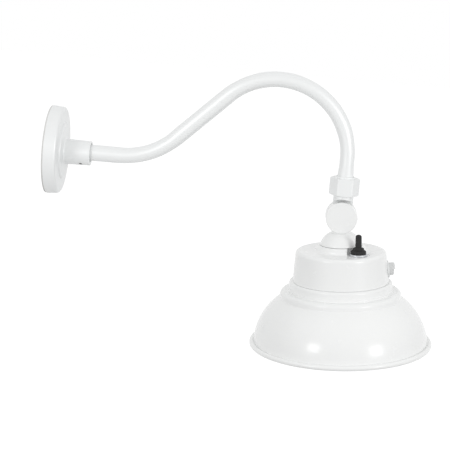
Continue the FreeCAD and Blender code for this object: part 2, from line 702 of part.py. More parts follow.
def make_canopy():
    """Cast canopy with a raised middle and a hub that hangs lower than the socket bored in it."""
    back = S.gasket_thickness
    edge = S.canopy_edge_radius
    wall = S.canopy_wall
    face = S.canopy_depth
    foot = face + S.face_rise
    front = foot + S.middle_height
    middle = S.middle_radius
    middle_round = S.middle_round
    plate = turned("CanopyPlate", (
        (back, canopy_radius), (face - edge, canopy_front_radius), (face, canopy_front_radius - edge),
        (foot, middle), (front - middle_round, middle), (front, middle - middle_round), (front, 0),
        (front - wall, 0), (front - wall, middle - wall), (foot - wall, middle - wall),
        (face - wall, canopy_front_radius - wall - edge), (face - wall - edge, canopy_front_radius - wall),
        (back, canopy_radius - wall)),
        {1: (edge, -1), 4: (middle_round, -1), 10: (edge, 1)}, about="X")
    root = hub_root_radius
    mouth = tube_radius + S.hub_mouth_wall
    root_fillet = S.hub_root_fillet
    mouth_edge = S.hub_edge_radius
    reach = S.hub_reach
    hub = turned("Hub", (
        (front - wall / 2, 0), (front - wall / 2, root + root_fillet), (front, root + root_fillet),
        (front + root_fillet, root), (reach - mouth_edge, mouth), (reach, mouth - mouth_edge), (reach, 0)),
        {2: (root_fillet, 1), 4: (mouth_edge, -1)}, about="X")
    put(hub, (0, 0, -S.hub_drop))
    blank = join("CanopyBlank", [plate, hub])
    socket = turned("ArmSocket", (
        (front - wall - PAST, 0), (front - wall - PAST, S.hub_wire_radius), (arm_seat, S.hub_wire_radius),
        (arm_seat, tube_radius + S.close_fit), (reach - S.hub_relief_depth, tube_radius + S.close_fit),
        (reach - S.hub_relief_depth, tube_radius + S.hub_relief_gap),
        (reach + PAST, tube_radius + S.hub_relief_gap), (reach + PAST, 0)), about="X")
    rim_holes = cylinder("RimHoles", S.canopy_screw_radius + S.face_gap, S.canopy_diameter + 2 * PAST,
                         (S.canopy_screw_height, 0, -canopy_radius - PAST))
    set_hole = cylinder("SetHole", S.set_screw_radius + S.face_gap, 2 * hub_root_radius,
                        (S.set_screw_distance, 0, 0), (1, 0, 0), 180 - S.set_screw_angle)
    stand(cut("Canopy", blank, [socket, rim_holes, set_hole]), "canopy", "WallFrame")


def make_canopy_screws():
    """Headless screws through the rim into the strap's ears, and the arm's set screw in the hub."""
    start = canopy_front_radius - S.canopy_screw_length
    for label, way in (("canopy_screw_top", 0), ("canopy_screw_bottom", 180)):
        spot = start if way == 0 else -start
        stand(grub_screw(label.title(), S.canopy_screw_radius, S.canopy_screw_length), label, "WallFrame",
              (S.canopy_screw_height, 0, spot), (1, 0, 0), way)
    reach = tube_radius + S.face_gap
    stand(grub_screw("ArmSetScrew", S.set_screw_radius, S.set_screw_length), "arm_set_screw", "WallFrame",
          (S.set_screw_distance, -reach * sine(S.set_screw_angle), -reach * cosine(S.set_screw_angle)),
          (1, 0, 0), 180 - S.set_screw_angle)


# ---- arm ----

def make_arm():
    """Tube swept along straight runs and two tangent bends in the plane of the arm."""
    low = S.low_bend_radius
    high = S.high_bend_radius
    rise = S.rise_angle
    high_x = S.arm_reach - high
    high_z = S.crown_height - high
    high_start_x = high_x - high * sine(rise)
    high_start_z = high_z + high * cosine(rise)
    low_end_z = low - low * cosine(rise)
    low_x = high_start_x - low * sine(rise) - (high_start_z - low_end_z) / tangent(rise)
    low_end_x = low_x + low * sine(rise)
    if low_x.value < S.hub_reach.value:
        raise ValueError("the reach is too short for these bends and this rise angle")
    end_z = arm_end - S.pivot_drop
    corners = ((arm_seat, 0), (low_x, 0), (low_end_x, low_end_z), (high_start_x, high_start_z),
               (S.arm_reach, high_z), (S.arm_reach, end_z))
    arcs = {1: (low, 1), 3: (high, -1)}
    body = doc.addObject("PartDesign::Body", "ArmBody")
    route = new_sketch(body, "ArmRoute", "XZ_Plane")
    spots = [FreeCAD.Vector(as_size(x).value, as_size(z).value, 0) for x, z in corners]
    last_point = None
    for number in range(len(corners) - 1):
        start, end = spots[number], spots[number + 1]
        first = 1
        if number in arcs:
            radius, side = arcs[number]
            route.addGeometry(arc_between(start, end, radius.value, side))
            constraint = route.addConstraint(Sketcher.Constraint("Radius", number, radius.value))
            route.setExpression(f"Constraints[{constraint}]", radius.text)
            first = 1 if side > 0 else 2
        else:
            route.addGeometry(Part.LineSegment(start, end))
        if last_point is not None:
            route.addConstraint(Sketcher.Constraint("Coincident", number - 1, last_point, number, first))
        hold(route, "DistanceX", number, first, corners[number][0])
        hold(route, "DistanceY", number, first, corners[number][1])
        last_point = 3 - first
    hold(route, "DistanceX", len(corners) - 2, last_point, corners[-1][0])
    hold(route, "DistanceY", len(corners) - 2, last_point, corners[-1][1])
    section = new_sketch(body, "ArmSection", "YZ_Plane")
    section.setExpression("AttachmentOffset", placement_text((0, 0, arm_seat)))
    ring_sketch(section, (tube_radius, tube_radius - S.tube_wall))
    doc.recompute()
    pipe = body.newObject("PartDesign::AdditivePipe", "ArmPipe")
    pipe.Profile = section
    pipe.Spine = (route, [f"Edge{number + 1}" for number in range(len(corners) - 1)])
    pipe.Mode = "Standard"
    doc.recompute()
    area = math.pi * (tube_radius.value ** 2 - (tube_radius.value - S.tube_wall.value) ** 2)
    length = sum(edge.Length for edge in route.Shape.Edges)
    if abs(body.Shape.Volume / (area * length) - 1) > 0.002:
        raise ValueError("the arm's volume is not its section times its length")
    stand(body, "arm", "WallFrame")


# ---- compression nut, ferrule and upper knuckle ----

def make_compression_nut():
    """Hexagon nut with a threaded bore below, and a collar round the arm above."""
    height = S.nut_height
    top = height + S.nut_collar
    bore = neck_radius + S.close_fit
    mouth = tube_radius + S.screw_clearance
    lip = height - S.nut_lip
    hollow = turned("NutHollow", (
        (0, -PAST), (bore, -PAST), (bore, lip - S.ferrule_height), (bore - S.casting_draft, lip),
        (mouth, lip), (mouth, top - S.nut_bevel), (mouth + S.nut_bevel, top),
        (mouth + S.nut_bevel, top + PAST), (0, top + PAST)))
    collar_radius = mouth + S.nut_collar_wall
    rounding = S.nut_collar_round
    collar = turned("NutCollar", (
        (0, lip), (collar_radius, lip), (collar_radius, top - rounding), (collar_radius - rounding, top),
        (0, top)), {2: (rounding, 1)})
    blank = join("NutBlank", [hex_blank("NutBody", S.nut_flats, height, S.nut_chamfer), collar])
    stand(cut("CompressionNut", blank, [hollow]), "compression_nut", "SwivelFrame", (0, 0, S.nut_rise))


def make_ferrule():
    start = neck_top + S.face_gap
    inner = tube_radius + S.running_fit
    outer = neck_radius - S.ferrule_inset
    top = S.ferrule_height - 2 * S.face_gap
    body = turned("Ferrule", (
        (inner, 0), (outer, 0), (outer, top - S.ferrule_chamfer),
        (outer - S.ferrule_chamfer, top), (inner, top)))
    stand(body, "ferrule", "SwivelFrame", (0, 0, start))


def make_disc(name):
    """Knuckle disc along Z from its mating face, with a rounded outer edge."""
    edge = S.disc_edge_radius
    return turned(name, (
        (0, 0), (disc_radius, 0), (disc_radius, disc_thickness - edge), (disc_radius - edge, disc_thickness),
        (0, disc_thickness)), {2: (edge, 1)})


def wire_ring(name):
    """Ring-shaped hollow for the wires round the pivot bolt, along Z from the mating face."""
    outer = cylinder(name + "_outer", S.wire_ring_outer, S.wire_ring_depth + PAST, (0, 0, -PAST))
    inner = cylinder(name + "_inner", S.wire_ring_inner, S.wire_ring_depth + 3 * PAST, (0, 0, -2 * PAST))
    return cut(name, outer, [inner])


def make_upper_knuckle():
    """Neck with the arm's socket, hollowed over the front disc, and the rear disc below it."""
    disc = put(make_disc("RearDisc"), (0, disc_face, 0), (1, 0, 0), -90)
    neck = cylinder("Neck", neck_radius, neck_top - disc_radius / 2, (0, 0, disc_radius / 2))
    relief = cylinder("NeckRelief", disc_radius + S.disc_relief, 2 * neck_radius, (0, disc_face, 0),
                      (1, 0, 0), 90)
    shaped_neck = cut("ShapedNeck", neck, [relief])
    blank = join("UpperBlank", [disc, shaped_neck])
    wires = put(wire_ring("RearWires"), (0, disc_face, 0), (1, 0, 0), -90)
    bolt_hole = cylinder("RearBoltHole", S.bolt_radius + S.running_fit, 2 * disc_back, (0, -disc_back, 0),
                         (1, 0, 0), -90)
    recess = cylinder("BoltRecess", S.bolt_head_radius + S.flex_gap, S.bolt_recess + PAST,
                      (0, disc_back - S.bolt_recess, 0), (1, 0, 0), -90)
    socket = cylinder("NeckSocket", tube_radius + S.running_fit, S.neck_socket + PAST, (0, 0, arm_end))
    wire_bore = cylinder("RearWireBore", S.wire_bore_radius, arm_end - S.wire_bore_start + PAST,
                         (0, S.wire_bore_offset, S.wire_bore_start))
    stand(cut("UpperKnuckle", blank, [wires, bolt_hole, recess, socket, wire_bore]),
          "upper_knuckle", "SwivelFrame")


# ---- lower knuckle and what holds it ----

def make_lower_knuckle():
    """Front disc and round stem on a bell foot, hollow underneath round its threaded core."""
    foot = turned("Foot", (
        (0, S.foot_top), (S.foot_neck_radius, S.foot_top), (S.foot_radius, S.foot_shoulder),
        (S.foot_radius, S.foot_bottom), (S.foot_radius - S.foot_wall, S.foot_bottom),
        (S.foot_radius - S.foot_wall - S.casting_draft, S.foot_bottom - S.foot_hollow),
        (S.foot_core_radius, S.foot_bottom - S.foot_hollow), (S.foot_core_radius, S.foot_bottom),
        (nipple_hole, S.foot_bottom), (nipple_hole, nipple_top), (0, nipple_top)),
        {1: (S.foot_curve, 1)})
    disc = put(make_disc("FrontDisc"), (0, -disc_face, 0), (1, 0, 0), 90)
    stem = cylinder("Stem", S.stem_radius, S.foot_top + S.stem_sink - disc_radius / 2,
                    (0, 0, disc_radius / 2))
    rear_space = cylinder("RearSpace", disc_radius + S.flex_gap, S.stem_radius + disc_face + PAST,
                          (0, -disc_face, 0), (1, 0, 0), -90)
    blank = join("LowerBlank", [foot, disc, cut("ShapedStem", stem, [rear_space])])
    wires = put(wire_ring("FrontWires"), (0, -disc_face, 0), (1, 0, 0), 90)
    bolt_hole = cylinder("FrontBoltHole", S.bolt_radius + S.face_gap, S.bolt_hold + disc_face + PAST / 2,
                         (0, 0, 0), (1, 0, 0), 90)
    wire_bore = cylinder("FrontWireBore", S.wire_bore_radius, nipple_top - S.wire_bore_start + PAST,
                         (0, -S.wire_bore_offset, S.wire_bore_start))
    mark = cylinder("FaceMark", S.face_mark_radius, PAST,
                    (S.face_mark_across, S.face_mark_depth - disc_back, S.face_mark_drop), (1, 0, 0), 90)
    stand(cut("LowerKnuckle", blank, [wires, bolt_hole, wire_bore, mark]), "lower_knuckle", "HeadFrame")


def make_pivot_bolt():
    """Bolt from the back through the rear disc into the front disc, with its two washers."""
    seat = disc_back - S.bolt_recess + S.face_gap + S.bolt_washer + S.face_gap
    length = seat + disc_face + S.bolt_hold
    stand(screw("PivotBolt", S.bolt_radius, length, S.bolt_head_radius, S.bolt_head_height, S.bolt_key),
          "pivot_bolt", "HeadFrame", (0, seat, 0), (1, 0, 0), -90)
    stand(ring("SpringWasher", S.bolt_radius + S.screw_clearance, S.bolt_head_radius, S.bolt_washer),
          "spring_washer", "HeadFrame", (0, seat - S.face_gap - S.bolt_washer, 0), (1, 0, 0), -90)
    stand(ring("FrictionWasher", S.washer_inner, S.washer_outer, S.washer_thickness),
          "friction_washer", "HeadFrame", (0, -S.washer_thickness / 2, 0), (1, 0, 0), -90)


def make_nipple():
    """Hollow threaded nipple from the foot through the housing's boss, with its washer and nut."""
    stand(ring("Nipple", S.nipple_bore, S.nipple_radius, nipple_end - nipple_top, start=nipple_top),
          "nipple", "HeadFrame")
    stand(ring("NippleWasher", nipple_hole, S.nipple_radius + 5, S.nipple_washer, start=boss_ceiling),
          "nipple_washer", "HeadFrame")
    stand(hex_nut("NippleNut", S.nipple_nut_flats, S.nipple_nut, nipple_hole),
          "nipple_nut", "HeadFrame", (0, 0, boss_ceiling + S.nipple_washer))


# ---- driver housing ----

def make_housing():
    """Cast cup with a raised boss, a drafted wall, screw bosses, a spot face and a flat for the photocell."""
    wall = S.housing_wall
    top = S.housing_top
    edge = S.housing_edge_radius
    boss_edge = S.boss_edge_radius
    fillet = S.boss_fillet
    pocket = S.boss_pocket_radius
    body = turned("HousingBody", (
        (nipple_hole, S.boss_top), (S.boss_top_radius - boss_edge, S.boss_top),
        (S.boss_top_radius, S.boss_top + boss_edge), (S.boss_foot_radius, top - fillet),
        (S.boss_foot_radius + fillet, top), (S.housing_top_radius - edge, top),
        (S.housing_top_radius, top + edge), (S.housing_bottom_radius, S.housing_bottom),
        (S.housing_bottom_radius - wall, S.housing_bottom), (S.housing_top_radius - wall, top + wall),
        (pocket, top + wall), (pocket - S.casting_draft, boss_ceiling), (nipple_hole, boss_ceiling)),
        {1: (boss_edge, 1), 3: (fillet, -1), 5: (edge, 1)})
    bosses = []
    holes = []
    for number, degrees in enumerate(SHADE_SCREW_ANGLES):
        x, y = around(S.screw_circle, degrees)
        bosses.append(cylinder(f"ScrewBoss{number}", S.screw_boss_radius, shade_top - top - wall / 2,
                               (x, y, top + wall / 2)))
        holes.append(cylinder(f"ScrewHole{number}", S.shade_screw_radius + S.face_gap,
                              S.shade_screw_length + PAST, (x, y, shade_top - S.shade_screw_length)))
    blank = join("HousingBlank", [body] + bosses)
    spot = cylinder("SpotFace", S.spot_face_radius, spot_level - S.boss_top + PAST,
                    (-S.switch_across, -S.switch_front, S.boss_top - PAST))
    switch_hole = cylinder("SwitchHole", S.bushing_radius + S.close_fit, 3 * wall,
                           (-S.switch_across, -S.switch_front, top - wall))
    cell_hole = cylinder("CellHole", S.cell_barrel_radius + S.close_fit, 4 * wall)
    cell_hole.setExpression("Placement", "HeadFrame.Frame ^ -1 * CellFrame.Frame * "
                            + placement_text((0, 0, -2 * wall)))
    cell_seat = cylinder("CellSeat", S.cell_flange_radius + S.flex_gap, 2 * wall)
    cell_seat.setExpression("Placement", "HeadFrame.Frame ^ -1 * CellFrame.Frame")
    stand(cut("Housing", blank, holes + [spot, switch_hole, cell_hole, cell_seat]), "housing", "HeadFrame")


def make_housing_gasket():
    stand(ring("HousingGasket", S.housing_bottom_radius - S.housing_wall + S.flex_gap,
               S.housing_bottom_radius - S.housing_gasket_inset, S.housing_gasket, start=S.housing_bottom),
          "housing_gasket", "HeadFrame")


# ---- shade ----

def make_shade():
    """Spun shade: two stepped rings, a domed flare of constant wall and a rim rolled outwards."""
    wall = S.shade_wall
    ring_edge = S.ring_edge_radius
    shoulder_edge = S.shoulder_edge_radius
    across = S.rim_radius - S.shoulder_radius
    chord = square_root(across * across + S.dome_height * S.dome_height)
    lean = square_root(S.dome_radius * S.dome_radius - chord * chord / 4) / chord
    centre_r = (S.rim_radius + S.shoulder_radius) / 2 - S.dome_height * lean
    centre_h = dome_start + S.dome_height / 2 + across * lean
    inner_dome = S.dome_radius - wall
    shrink = inner_dome / S.dome_radius
    inner_rim_r = centre_r + (S.rim_radius - centre_r) * shrink
    inner_rim_h = centre_h + (dome_end - centre_h) * shrink
    inner_start_r = S.shoulder_radius - wall
    span = inner_start_r - centre_r
    inner_start_h = centre_h - square_root(inner_dome * inner_dome - span * span)
    reach = S.dome_radius + S.dome_fillet
    fillet_r = S.shoulder_radius + S.dome_fillet
    fillet_h = centre_h - square_root(reach * reach - (fillet_r - centre_r) * (fillet_r - centre_r))
    share = S.dome_radius / reach
    meet_r = centre_r + (fillet_r - centre_r) * share
    meet_h = centre_h + (fillet_h - centre_h) * share
    corner = S.shoulder_inner_radius
    step = S.ring_radius + S.ring_step
    step_top = shoulder_top - S.ring_step_height
    bead = S.bead_radius
    bead_r = S.rim_radius + bead * cosine(S.bead_start)
    bead_h = dome_end + bead * sine(S.bead_start)
    body = turned("ShadeBody", (
        (S.shade_wire_radius, shade_top), (S.ring_radius - ring_edge, shade_top),
        (S.ring_radius, shade_top + ring_edge), (S.ring_radius, step_top), (step, step_top),
        (step, shoulder_top),
        (S.shoulder_radius - shoulder_edge, shoulder_top), (S.shoulder_radius, shoulder_top + shoulder_edge),
        (S.shoulder_radius, fillet_h), (meet_r, meet_h), (S.rim_radius, dome_end), (bead_r + bead, bead_h),
        (S.rim_radius, bead_h + bead * sine(S.bead_start)), (inner_rim_r, inner_rim_h),
        (inner_start_r, inner_start_h), (inner_start_r, shoulder_under + corner),
        (inner_start_r - corner, shoulder_under), (S.ring_radius - wall, shoulder_under),
        (S.ring_radius - wall, shade_under), (S.shade_wire_radius, shade_under)),
        {1: (ring_edge, 1), 6: (shoulder_edge, 1), 8: (S.dome_fillet, -1), 9: (S.dome_radius, 1),
         10: (bead, 1), 11: (bead, 1), 13: (inner_dome, -1), 15: (corner, -1)})
    holes = []
    for number, degrees in enumerate(SHADE_SCREW_ANGLES):
        x, y = around(S.screw_circle, degrees)
        holes.append(cylinder(f"ShadeHole{number}", S.shade_screw_radius + S.screw_clearance, 3 * wall,
                              (x, y, shade_top - wall)))
    for number, degrees in enumerate(BOARD_SCREW_ANGLES):
        x, y = around(S.board_screw_circle, degrees)
        holes.append(cylinder(f"BoardHole{number}", S.small_screw_radius + S.face_gap, 3 * wall,
                              (x, y, shade_top - wall)))
    for number, way in enumerate((-1, 1)):
        holes.append(cylinder(f"DriverHole{number}", S.small_screw_radius + S.face_gap, 3 * wall,
                              (way * (S.driver_length + S.driver_lug) / 2, S.driver_offset,
                               shade_top - wall)))
    for number, degrees in enumerate(LENS_SCREW_ANGLES):
        x, y = around(S.lens_screw_circle, degrees)
        holes.append(cylinder(f"LensHole{number}", S.small_screw_radius + S.face_gap,
                              S.lens_screw_bite + PAST, (x, y, shoulder_under - S.lens_screw_bite)))
    stand(cut("Shade", body, holes), "shade", "HeadFrame")


def make_shade_screws():
    for number, degrees in enumerate(SHADE_SCREW_ANGLES, start=1):
        x, y = around(S.screw_circle, degrees)
        stand(screw(f"ShadeScrew{number}", S.shade_screw_radius, S.shade_screw_length, S.shade_screw_head,
                    S.pan_head_height, S.shade_screw_key),
              f"shade_screw_{number}", "HeadFrame", (x, y, shade_under))


# ---- light engine ----

def make_led_board():
    """Metal-core board with two rings of chips on its lower face."""
    start = shade_under + S.board_gap
    board = cylinder("BoardDisc", S.board_radius, S.board_thickness, (0, 0, start))
    chips = []
    for circle, count in ((S.chip_inner_circle, INNER_CHIPS), (S.chip_outer_circle, OUTER_CHIPS)):
        for number in range(count):
            degrees = 360 / count * (number + 0.5)
            x, y = around(circle, degrees)
            chips.append(box(f"Chip{count}_{number}", (S.chip_side, S.chip_side, S.chip_height),
                             (x - S.chip_side / 2, y - S.chip_side / 2, board_under)))
    holes = []
    for number, degrees in enumerate(BOARD_SCREW_ANGLES):
        x, y = around(S.board_screw_circle, degrees)
        holes.append(cylinder(f"BoardScrewHole{number}", S.small_screw_radius + S.close_fit,
                              3 * S.board_thickness, (x, y, start - S.board_thickness)))
    holes.append(cylinder("BoardWireHole", S.nipple_bore, 3 * S.board_thickness,
                          (0, 0, start - S.board_thickness)))
    drilled = cut("DrilledBoard", board, holes)
    stand(join("LedBoard", [drilled] + chips), "led_board", "HeadFrame")
    for number, degrees in enumerate(BOARD_SCREW_ANGLES, start=1):
        x, y = around(S.board_screw_circle, degrees)
        stand(screw(f"BoardScrew{number}", S.small_screw_radius, S.board_screw_length, S.small_screw_head,
                    S.small_head_height, S.small_key),
              f"board_screw_{number}", "HeadFrame", (x, y, board_under))


def make_driver():
    """Potted driver on the shade's top plate, with a screwed lug at each end."""
    length = S.driver_length
    width = S.driver_width
    case = box("DriverCase", (length, width, S.driver_height),
               (-length / 2, S.driver_offset - width / 2, shade_top - S.driver_height))
    rounded = doc.addObject("Part::Fillet", "DriverRounded")
    rounded.Base = case
    doc.recompute()
    upright = [(number, S.driver_edge_radius.value, S.driver_edge_radius.value)
               for number, edge in enumerate(case.Shape.Edges, start=1)
               if abs(edge.tangentAt(edge.FirstParameter).z) > 0.9]
    rounded.Edges = upright
    lug_width = width / 3
    lug = box("DriverLugs", (length + 2 * S.driver_lug, lug_width, S.driver_lug_height),
              (-length / 2 - S.driver_lug, S.driver_offset - lug_width / 2, shade_top - S.driver_lug_height))
    blank = join("DriverBlank", [rounded, lug])
    holes = []
    for number, way in enumerate((-1, 1), start=1):
        x = way * (length + S.driver_lug) / 2
        holes.append(cylinder(f"LugHole{number}", S.small_screw_radius + S.close_fit, 3 * S.driver_lug_height,
                              (x, S.driver_offset, shade_top - 2 * S.driver_lug_height)))
        stand(screw(f"DriverScrew{number}", S.small_screw_radius, S.driver_screw_length, S.small_screw_head,
                    S.small_head_height, S.small_key),
              f"driver_screw_{number}", "HeadFrame",
              (x, S.driver_offset, shade_top - S.driver_lug_height), (1, 0, 0), 180)
    stand(cut("Driver", blank, holes), "driver", "HeadFrame")


# ---- lens ----

def make_lens():
    """Domed lens pressed against the shade's shoulder by a screwed ring, with a gasket between."""
    stand(ring("LensGasket", S.lens_radius - S.lens_gasket_band, S.lens_radius - S.close_fit, S.lens_gasket,
               start=shoulder_under), "lens_gasket", "HeadFrame")
    dome = S.lens_dome_radius
    bulge = S.lens_bulge
    curve = (dome * dome + bulge * bulge) / (2 * bulge)
    lens = turned("Lens", (
        (0, lens_top + bulge), (dome, lens_top), (S.lens_radius, lens_top), (S.lens_radius, lens_under),
        (dome, lens_under), (0, lens_under + bulge)), {0: (curve, -1), 4: (curve, 1)})
    stand(lens, "lens", "HeadFrame")
    recess = S.lens_radius + S.flex_gap
    chamfer = S.lens_ring_chamfer
    body = turned("LensRingBody", (
        (recess, shoulder_under), (S.lens_ring_radius - chamfer, shoulder_under),
        (S.lens_ring_radius, shoulder_under + chamfer),
        (S.lens_ring_radius, lens_ring_under), (S.lens_ring_inner, lens_ring_under),
        (S.lens_ring_inner, lens_under + S.face_gap), (recess, lens_under + S.face_gap)))
    holes = []
    length = lens_ring_under - shoulder_under + S.lens_screw_bite - S.close_fit
    for number, degrees in enumerate(LENS_SCREW_ANGLES, start=1):
        x, y = around(S.lens_screw_circle, degrees)
        holes.append(cylinder(f"RingHole{number}", S.small_screw_radius + S.close_fit,
                              3 * (lens_ring_under - shoulder_under),
                              (x, y, 2 * shoulder_under - lens_ring_under)))
        stand(screw(f"LensScrew{number}", S.small_screw_radius, length, S.small_screw_head,
                    S.small_head_height, S.small_key),
              f"lens_screw_{number}", "HeadFrame", (x, y, lens_ring_under))
    stand(cut("LensRing", body, holes), "lens_ring", "HeadFrame")


# ---- toggle switch ----

def make_switch():
    """Switch under the housing's top, its bushing through it, the lever and its two-piece boot."""
    bore = S.lever_ball + S.flex_gap
    nut_under = -(panel_thickness + S.switch_nut)
    case = box("SwitchCase", (S.switch_body_length, S.switch_body_width, S.switch_body_height),
               (-S.switch_body_length / 2, -S.switch_body_width / 2,
                nut_under - S.face_gap - S.switch_body_height))
    bushing = cylinder("Bushing", S.bushing_radius, S.bushing_height - nut_under + PAST,
                       (0, 0, nut_under - PAST))
    blank = join("SwitchBlank", [case, bushing])
    hollow = cylinder("BushingHollow", bore, S.bushing_height + S.lever_ball + PAST,
                      (0, 0, S.lever_pivot - S.lever_ball - S.flex_gap))
    stand(cut("SwitchBody", blank, [hollow]), "switch_body", "SwitchFrame")
    stand(hex_nut("SwitchNut", S.switch_nut_flats, S.switch_nut - S.face_gap,
                  S.bushing_radius + S.close_fit),
          "switch_nut", "SwitchFrame", (0, 0, nut_under))
    stand(ring("SwitchWasher", S.bushing_radius + S.close_fit, S.switch_washer_radius, S.switch_washer),
          "switch_washer", "SwitchFrame")
    ball = doc.addObject("Part::Sphere", "LeverBall")
    bind(ball, Radius=S.lever_ball)
    put(ball, (0, 0, S.lever_pivot))
    bat = doc.addObject("Part::Cone", "LeverBat")
    bind(bat, Radius1=S.lever_root, Radius2=S.lever_tip,
         Height=S.boot_finger_top - S.boot_finger_wall - S.lever_pivot)
    put(bat, (0, 0, S.lever_pivot))
    pin_end = S.lever_ball + S.lever_pin_reach
    pin = cylinder("LeverPin", S.lever_pin, 2 * pin_end, (0, -pin_end, S.lever_pivot), (1, 0, 0), -90)
    stand(join("SwitchLever", [ball, bat, pin]), "switch_lever", "SwitchFrame")
    make_boot()


def make_boot():
    """Rubber boot: a skirt clamped on the bushing and the finger that moves with the lever."""
    base = S.switch_washer
    base_top = base + S.boot_base_height
    tier_top = base_top + S.boot_tier_height
    bevel = S.boot_bevel
    skirt = turned("BootSkirt", (
        (S.boot_mouth, base), (S.boot_base_radius, base), (S.boot_base_radius, base_top - bevel),
        (S.boot_base_radius - bevel, base_top), (S.boot_tier_radius - bevel, base_top),
        (S.boot_tier_radius, base_top + bevel), (S.boot_tier_radius, tier_top - bevel),
        (S.boot_tier_radius - bevel, tier_top), (S.boot_mouth, tier_top)))
    stand(skirt, "boot_skirt", "SwitchFrame")
    outer = S.boot_finger_radius
    inner = outer - S.boot_finger_wall
    top = S.boot_finger_top
    shoulder = top - S.boot_tip_taper
    finger = turned("BootFinger", (
        (inner, S.boot_finger_foot), (outer, S.boot_finger_foot), (outer, shoulder),
        (S.boot_tip_radius, top), (0, top), (0, top - S.boot_finger_wall),
        (S.boot_tip_radius - S.boot_finger_wall / 2, top - S.boot_finger_wall),
        (inner, shoulder - S.boot_finger_wall / 2)))
    stand(finger, "boot_finger", "SwitchFrame")


# ---- photocell ----

def cell_lens_half(name, start, height, side):
    """One half of the photocell's lens; side is 1 for the half nearer the shade and -1 for the other."""
    edge = S.cell_lens_round
    radius = S.cell_lens_radius
    end = start + height
    body = turned(name + "_turned", (
        (0, start), (radius, start), (radius, end - edge), (radius - edge, end), (0, end)), {2: (edge, 1)})
    away = -radius - PAST if side > 0 else as_size(0)
    other_half = box(name + "_other", (radius + PAST, 2 * (radius + PAST), height + 2 * PAST),
                     (away, -radius - PAST, start - PAST))
    return cut(name, body, [other_half])


def make_photocell():
    """Photocell through the housing wall: gasket, flanged barrel, lens outside and nut inside."""
    barrel = S.cell_barrel_radius
    flange_top = S.cell_gasket + S.cell_flange
    bevel = S.cell_flange_bevel
    body = turned("CellBody", (
        (0, -S.cell_barrel_length), (barrel, -S.cell_barrel_length), (barrel, S.cell_gasket),
        (S.cell_flange_radius, S.cell_gasket), (S.cell_flange_radius, flange_top - bevel),
        (S.cell_flange_radius - bevel, flange_top), (0, flange_top)))
    stand(body, "photocell_body", "CellFrame")
    stand(ring("CellGasket", barrel + S.close_fit, S.cell_flange_radius - S.close_fit, S.cell_gasket),
          "photocell_gasket", "CellFrame")
    halves = join("CellLensHalves", [
        cell_lens_half("UpperLens", flange_top, S.cell_upper_height, -1),
        cell_lens_half("LowerLens", flange_top, S.cell_lower_height, 1)])
    slot = box("CellSlot", (S.cell_slot_width, 2 * (S.cell_lens_radius + PAST), S.cell_upper_height),
               (-S.cell_slot_width / 2, -S.cell_lens_radius - PAST, flange_top + S.cell_slot_floor))
    stand(cut("CellLens", halves, [slot]), "photocell_lens", "CellFrame")
    inside = cell_wall_radius - S.housing_wall
    corner = S.cell_nut_flats / (2 * cosine(30))
    sag = inside - square_root(inside * inside - corner * corner)
    seat = S.housing_wall - cell_flat + sag + S.close_fit
    stand(hex_nut("CellNut", S.cell_nut_flats, S.cell_nut, barrel + S.close_fit),
          "photocell_nut", "CellFrame", (0, 0, -seat - S.cell_nut))


# ---- build, check and write ----

def check_model():
    for thing in doc.Objects:
        if "Invalid" in thing.State or "Error" in thing.State:
            raise ValueError(f"{thing.Name} did not recompute: {thing.State}")
    for node in NODES:
        if node.Shape.isNull() or not node.Shape.isValid():
            raise ValueError(f"{node.Label} has no valid shape")
        if len(node.Shape.Solids) != 1:
            raise ValueError(f"{node.Label} has {len(node.Shape.Solids)} solids")


def write_parts():
    os.makedirs(PARTS_FOLDER, exist_ok=True)
    for node in NODES:
        node.Shape.exportStep(os.path.join(PARTS_FOLDER, f"{node.Label}.step"))
        print(f"{node.Label}: {node.Shape.Volume / 1000:.2f} cm3")


make_strap()
make_ground_screw()
make_wall_gasket()
make_canopy()
make_canopy_screws()
make_arm()
make_compression_nut()
make_ferrule()
make_upper_knuckle()
make_lower_knuckle()
make_pivot_bolt()
make_nipple()
make_housing()
make_housing_gasket()
make_shade()
make_shade_screws()
make_led_board()
make_driver()
make_lens()
make_switch()
make_photocell()
doc.recompute()
check_model()
write_parts()
print(f"{len(NODES)} sub-parts")
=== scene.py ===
import json
import math

import bmesh
import bpy
import numpy as np
from bpy.props import FloatProperty, FloatVectorProperty, PointerProperty
from mathutils import Matrix, Vector


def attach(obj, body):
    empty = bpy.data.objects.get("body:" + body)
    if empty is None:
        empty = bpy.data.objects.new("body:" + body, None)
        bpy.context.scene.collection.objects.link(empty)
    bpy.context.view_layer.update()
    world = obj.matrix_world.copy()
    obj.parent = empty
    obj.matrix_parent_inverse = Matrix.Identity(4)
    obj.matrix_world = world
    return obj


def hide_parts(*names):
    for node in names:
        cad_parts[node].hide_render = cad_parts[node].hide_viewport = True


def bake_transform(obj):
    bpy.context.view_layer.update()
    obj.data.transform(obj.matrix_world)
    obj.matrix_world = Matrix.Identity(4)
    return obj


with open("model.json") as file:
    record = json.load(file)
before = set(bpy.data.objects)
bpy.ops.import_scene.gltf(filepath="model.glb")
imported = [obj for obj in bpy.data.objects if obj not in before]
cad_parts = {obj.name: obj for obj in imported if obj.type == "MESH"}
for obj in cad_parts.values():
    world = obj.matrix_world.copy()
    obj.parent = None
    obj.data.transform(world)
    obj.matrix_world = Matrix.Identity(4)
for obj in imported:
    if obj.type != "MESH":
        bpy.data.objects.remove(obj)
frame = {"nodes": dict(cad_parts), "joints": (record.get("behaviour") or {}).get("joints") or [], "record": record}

bl_info = {
    "name": "Gooseneck wall sconce",
    "version": (1, 0, 0),
    "blender": (4, 5, 0),
    "location": "View3D > Sidebar > Sconce",
    "description": "Finished pieces, materials and studio for a gooseneck wall sconce",
    "category": "Object",
}

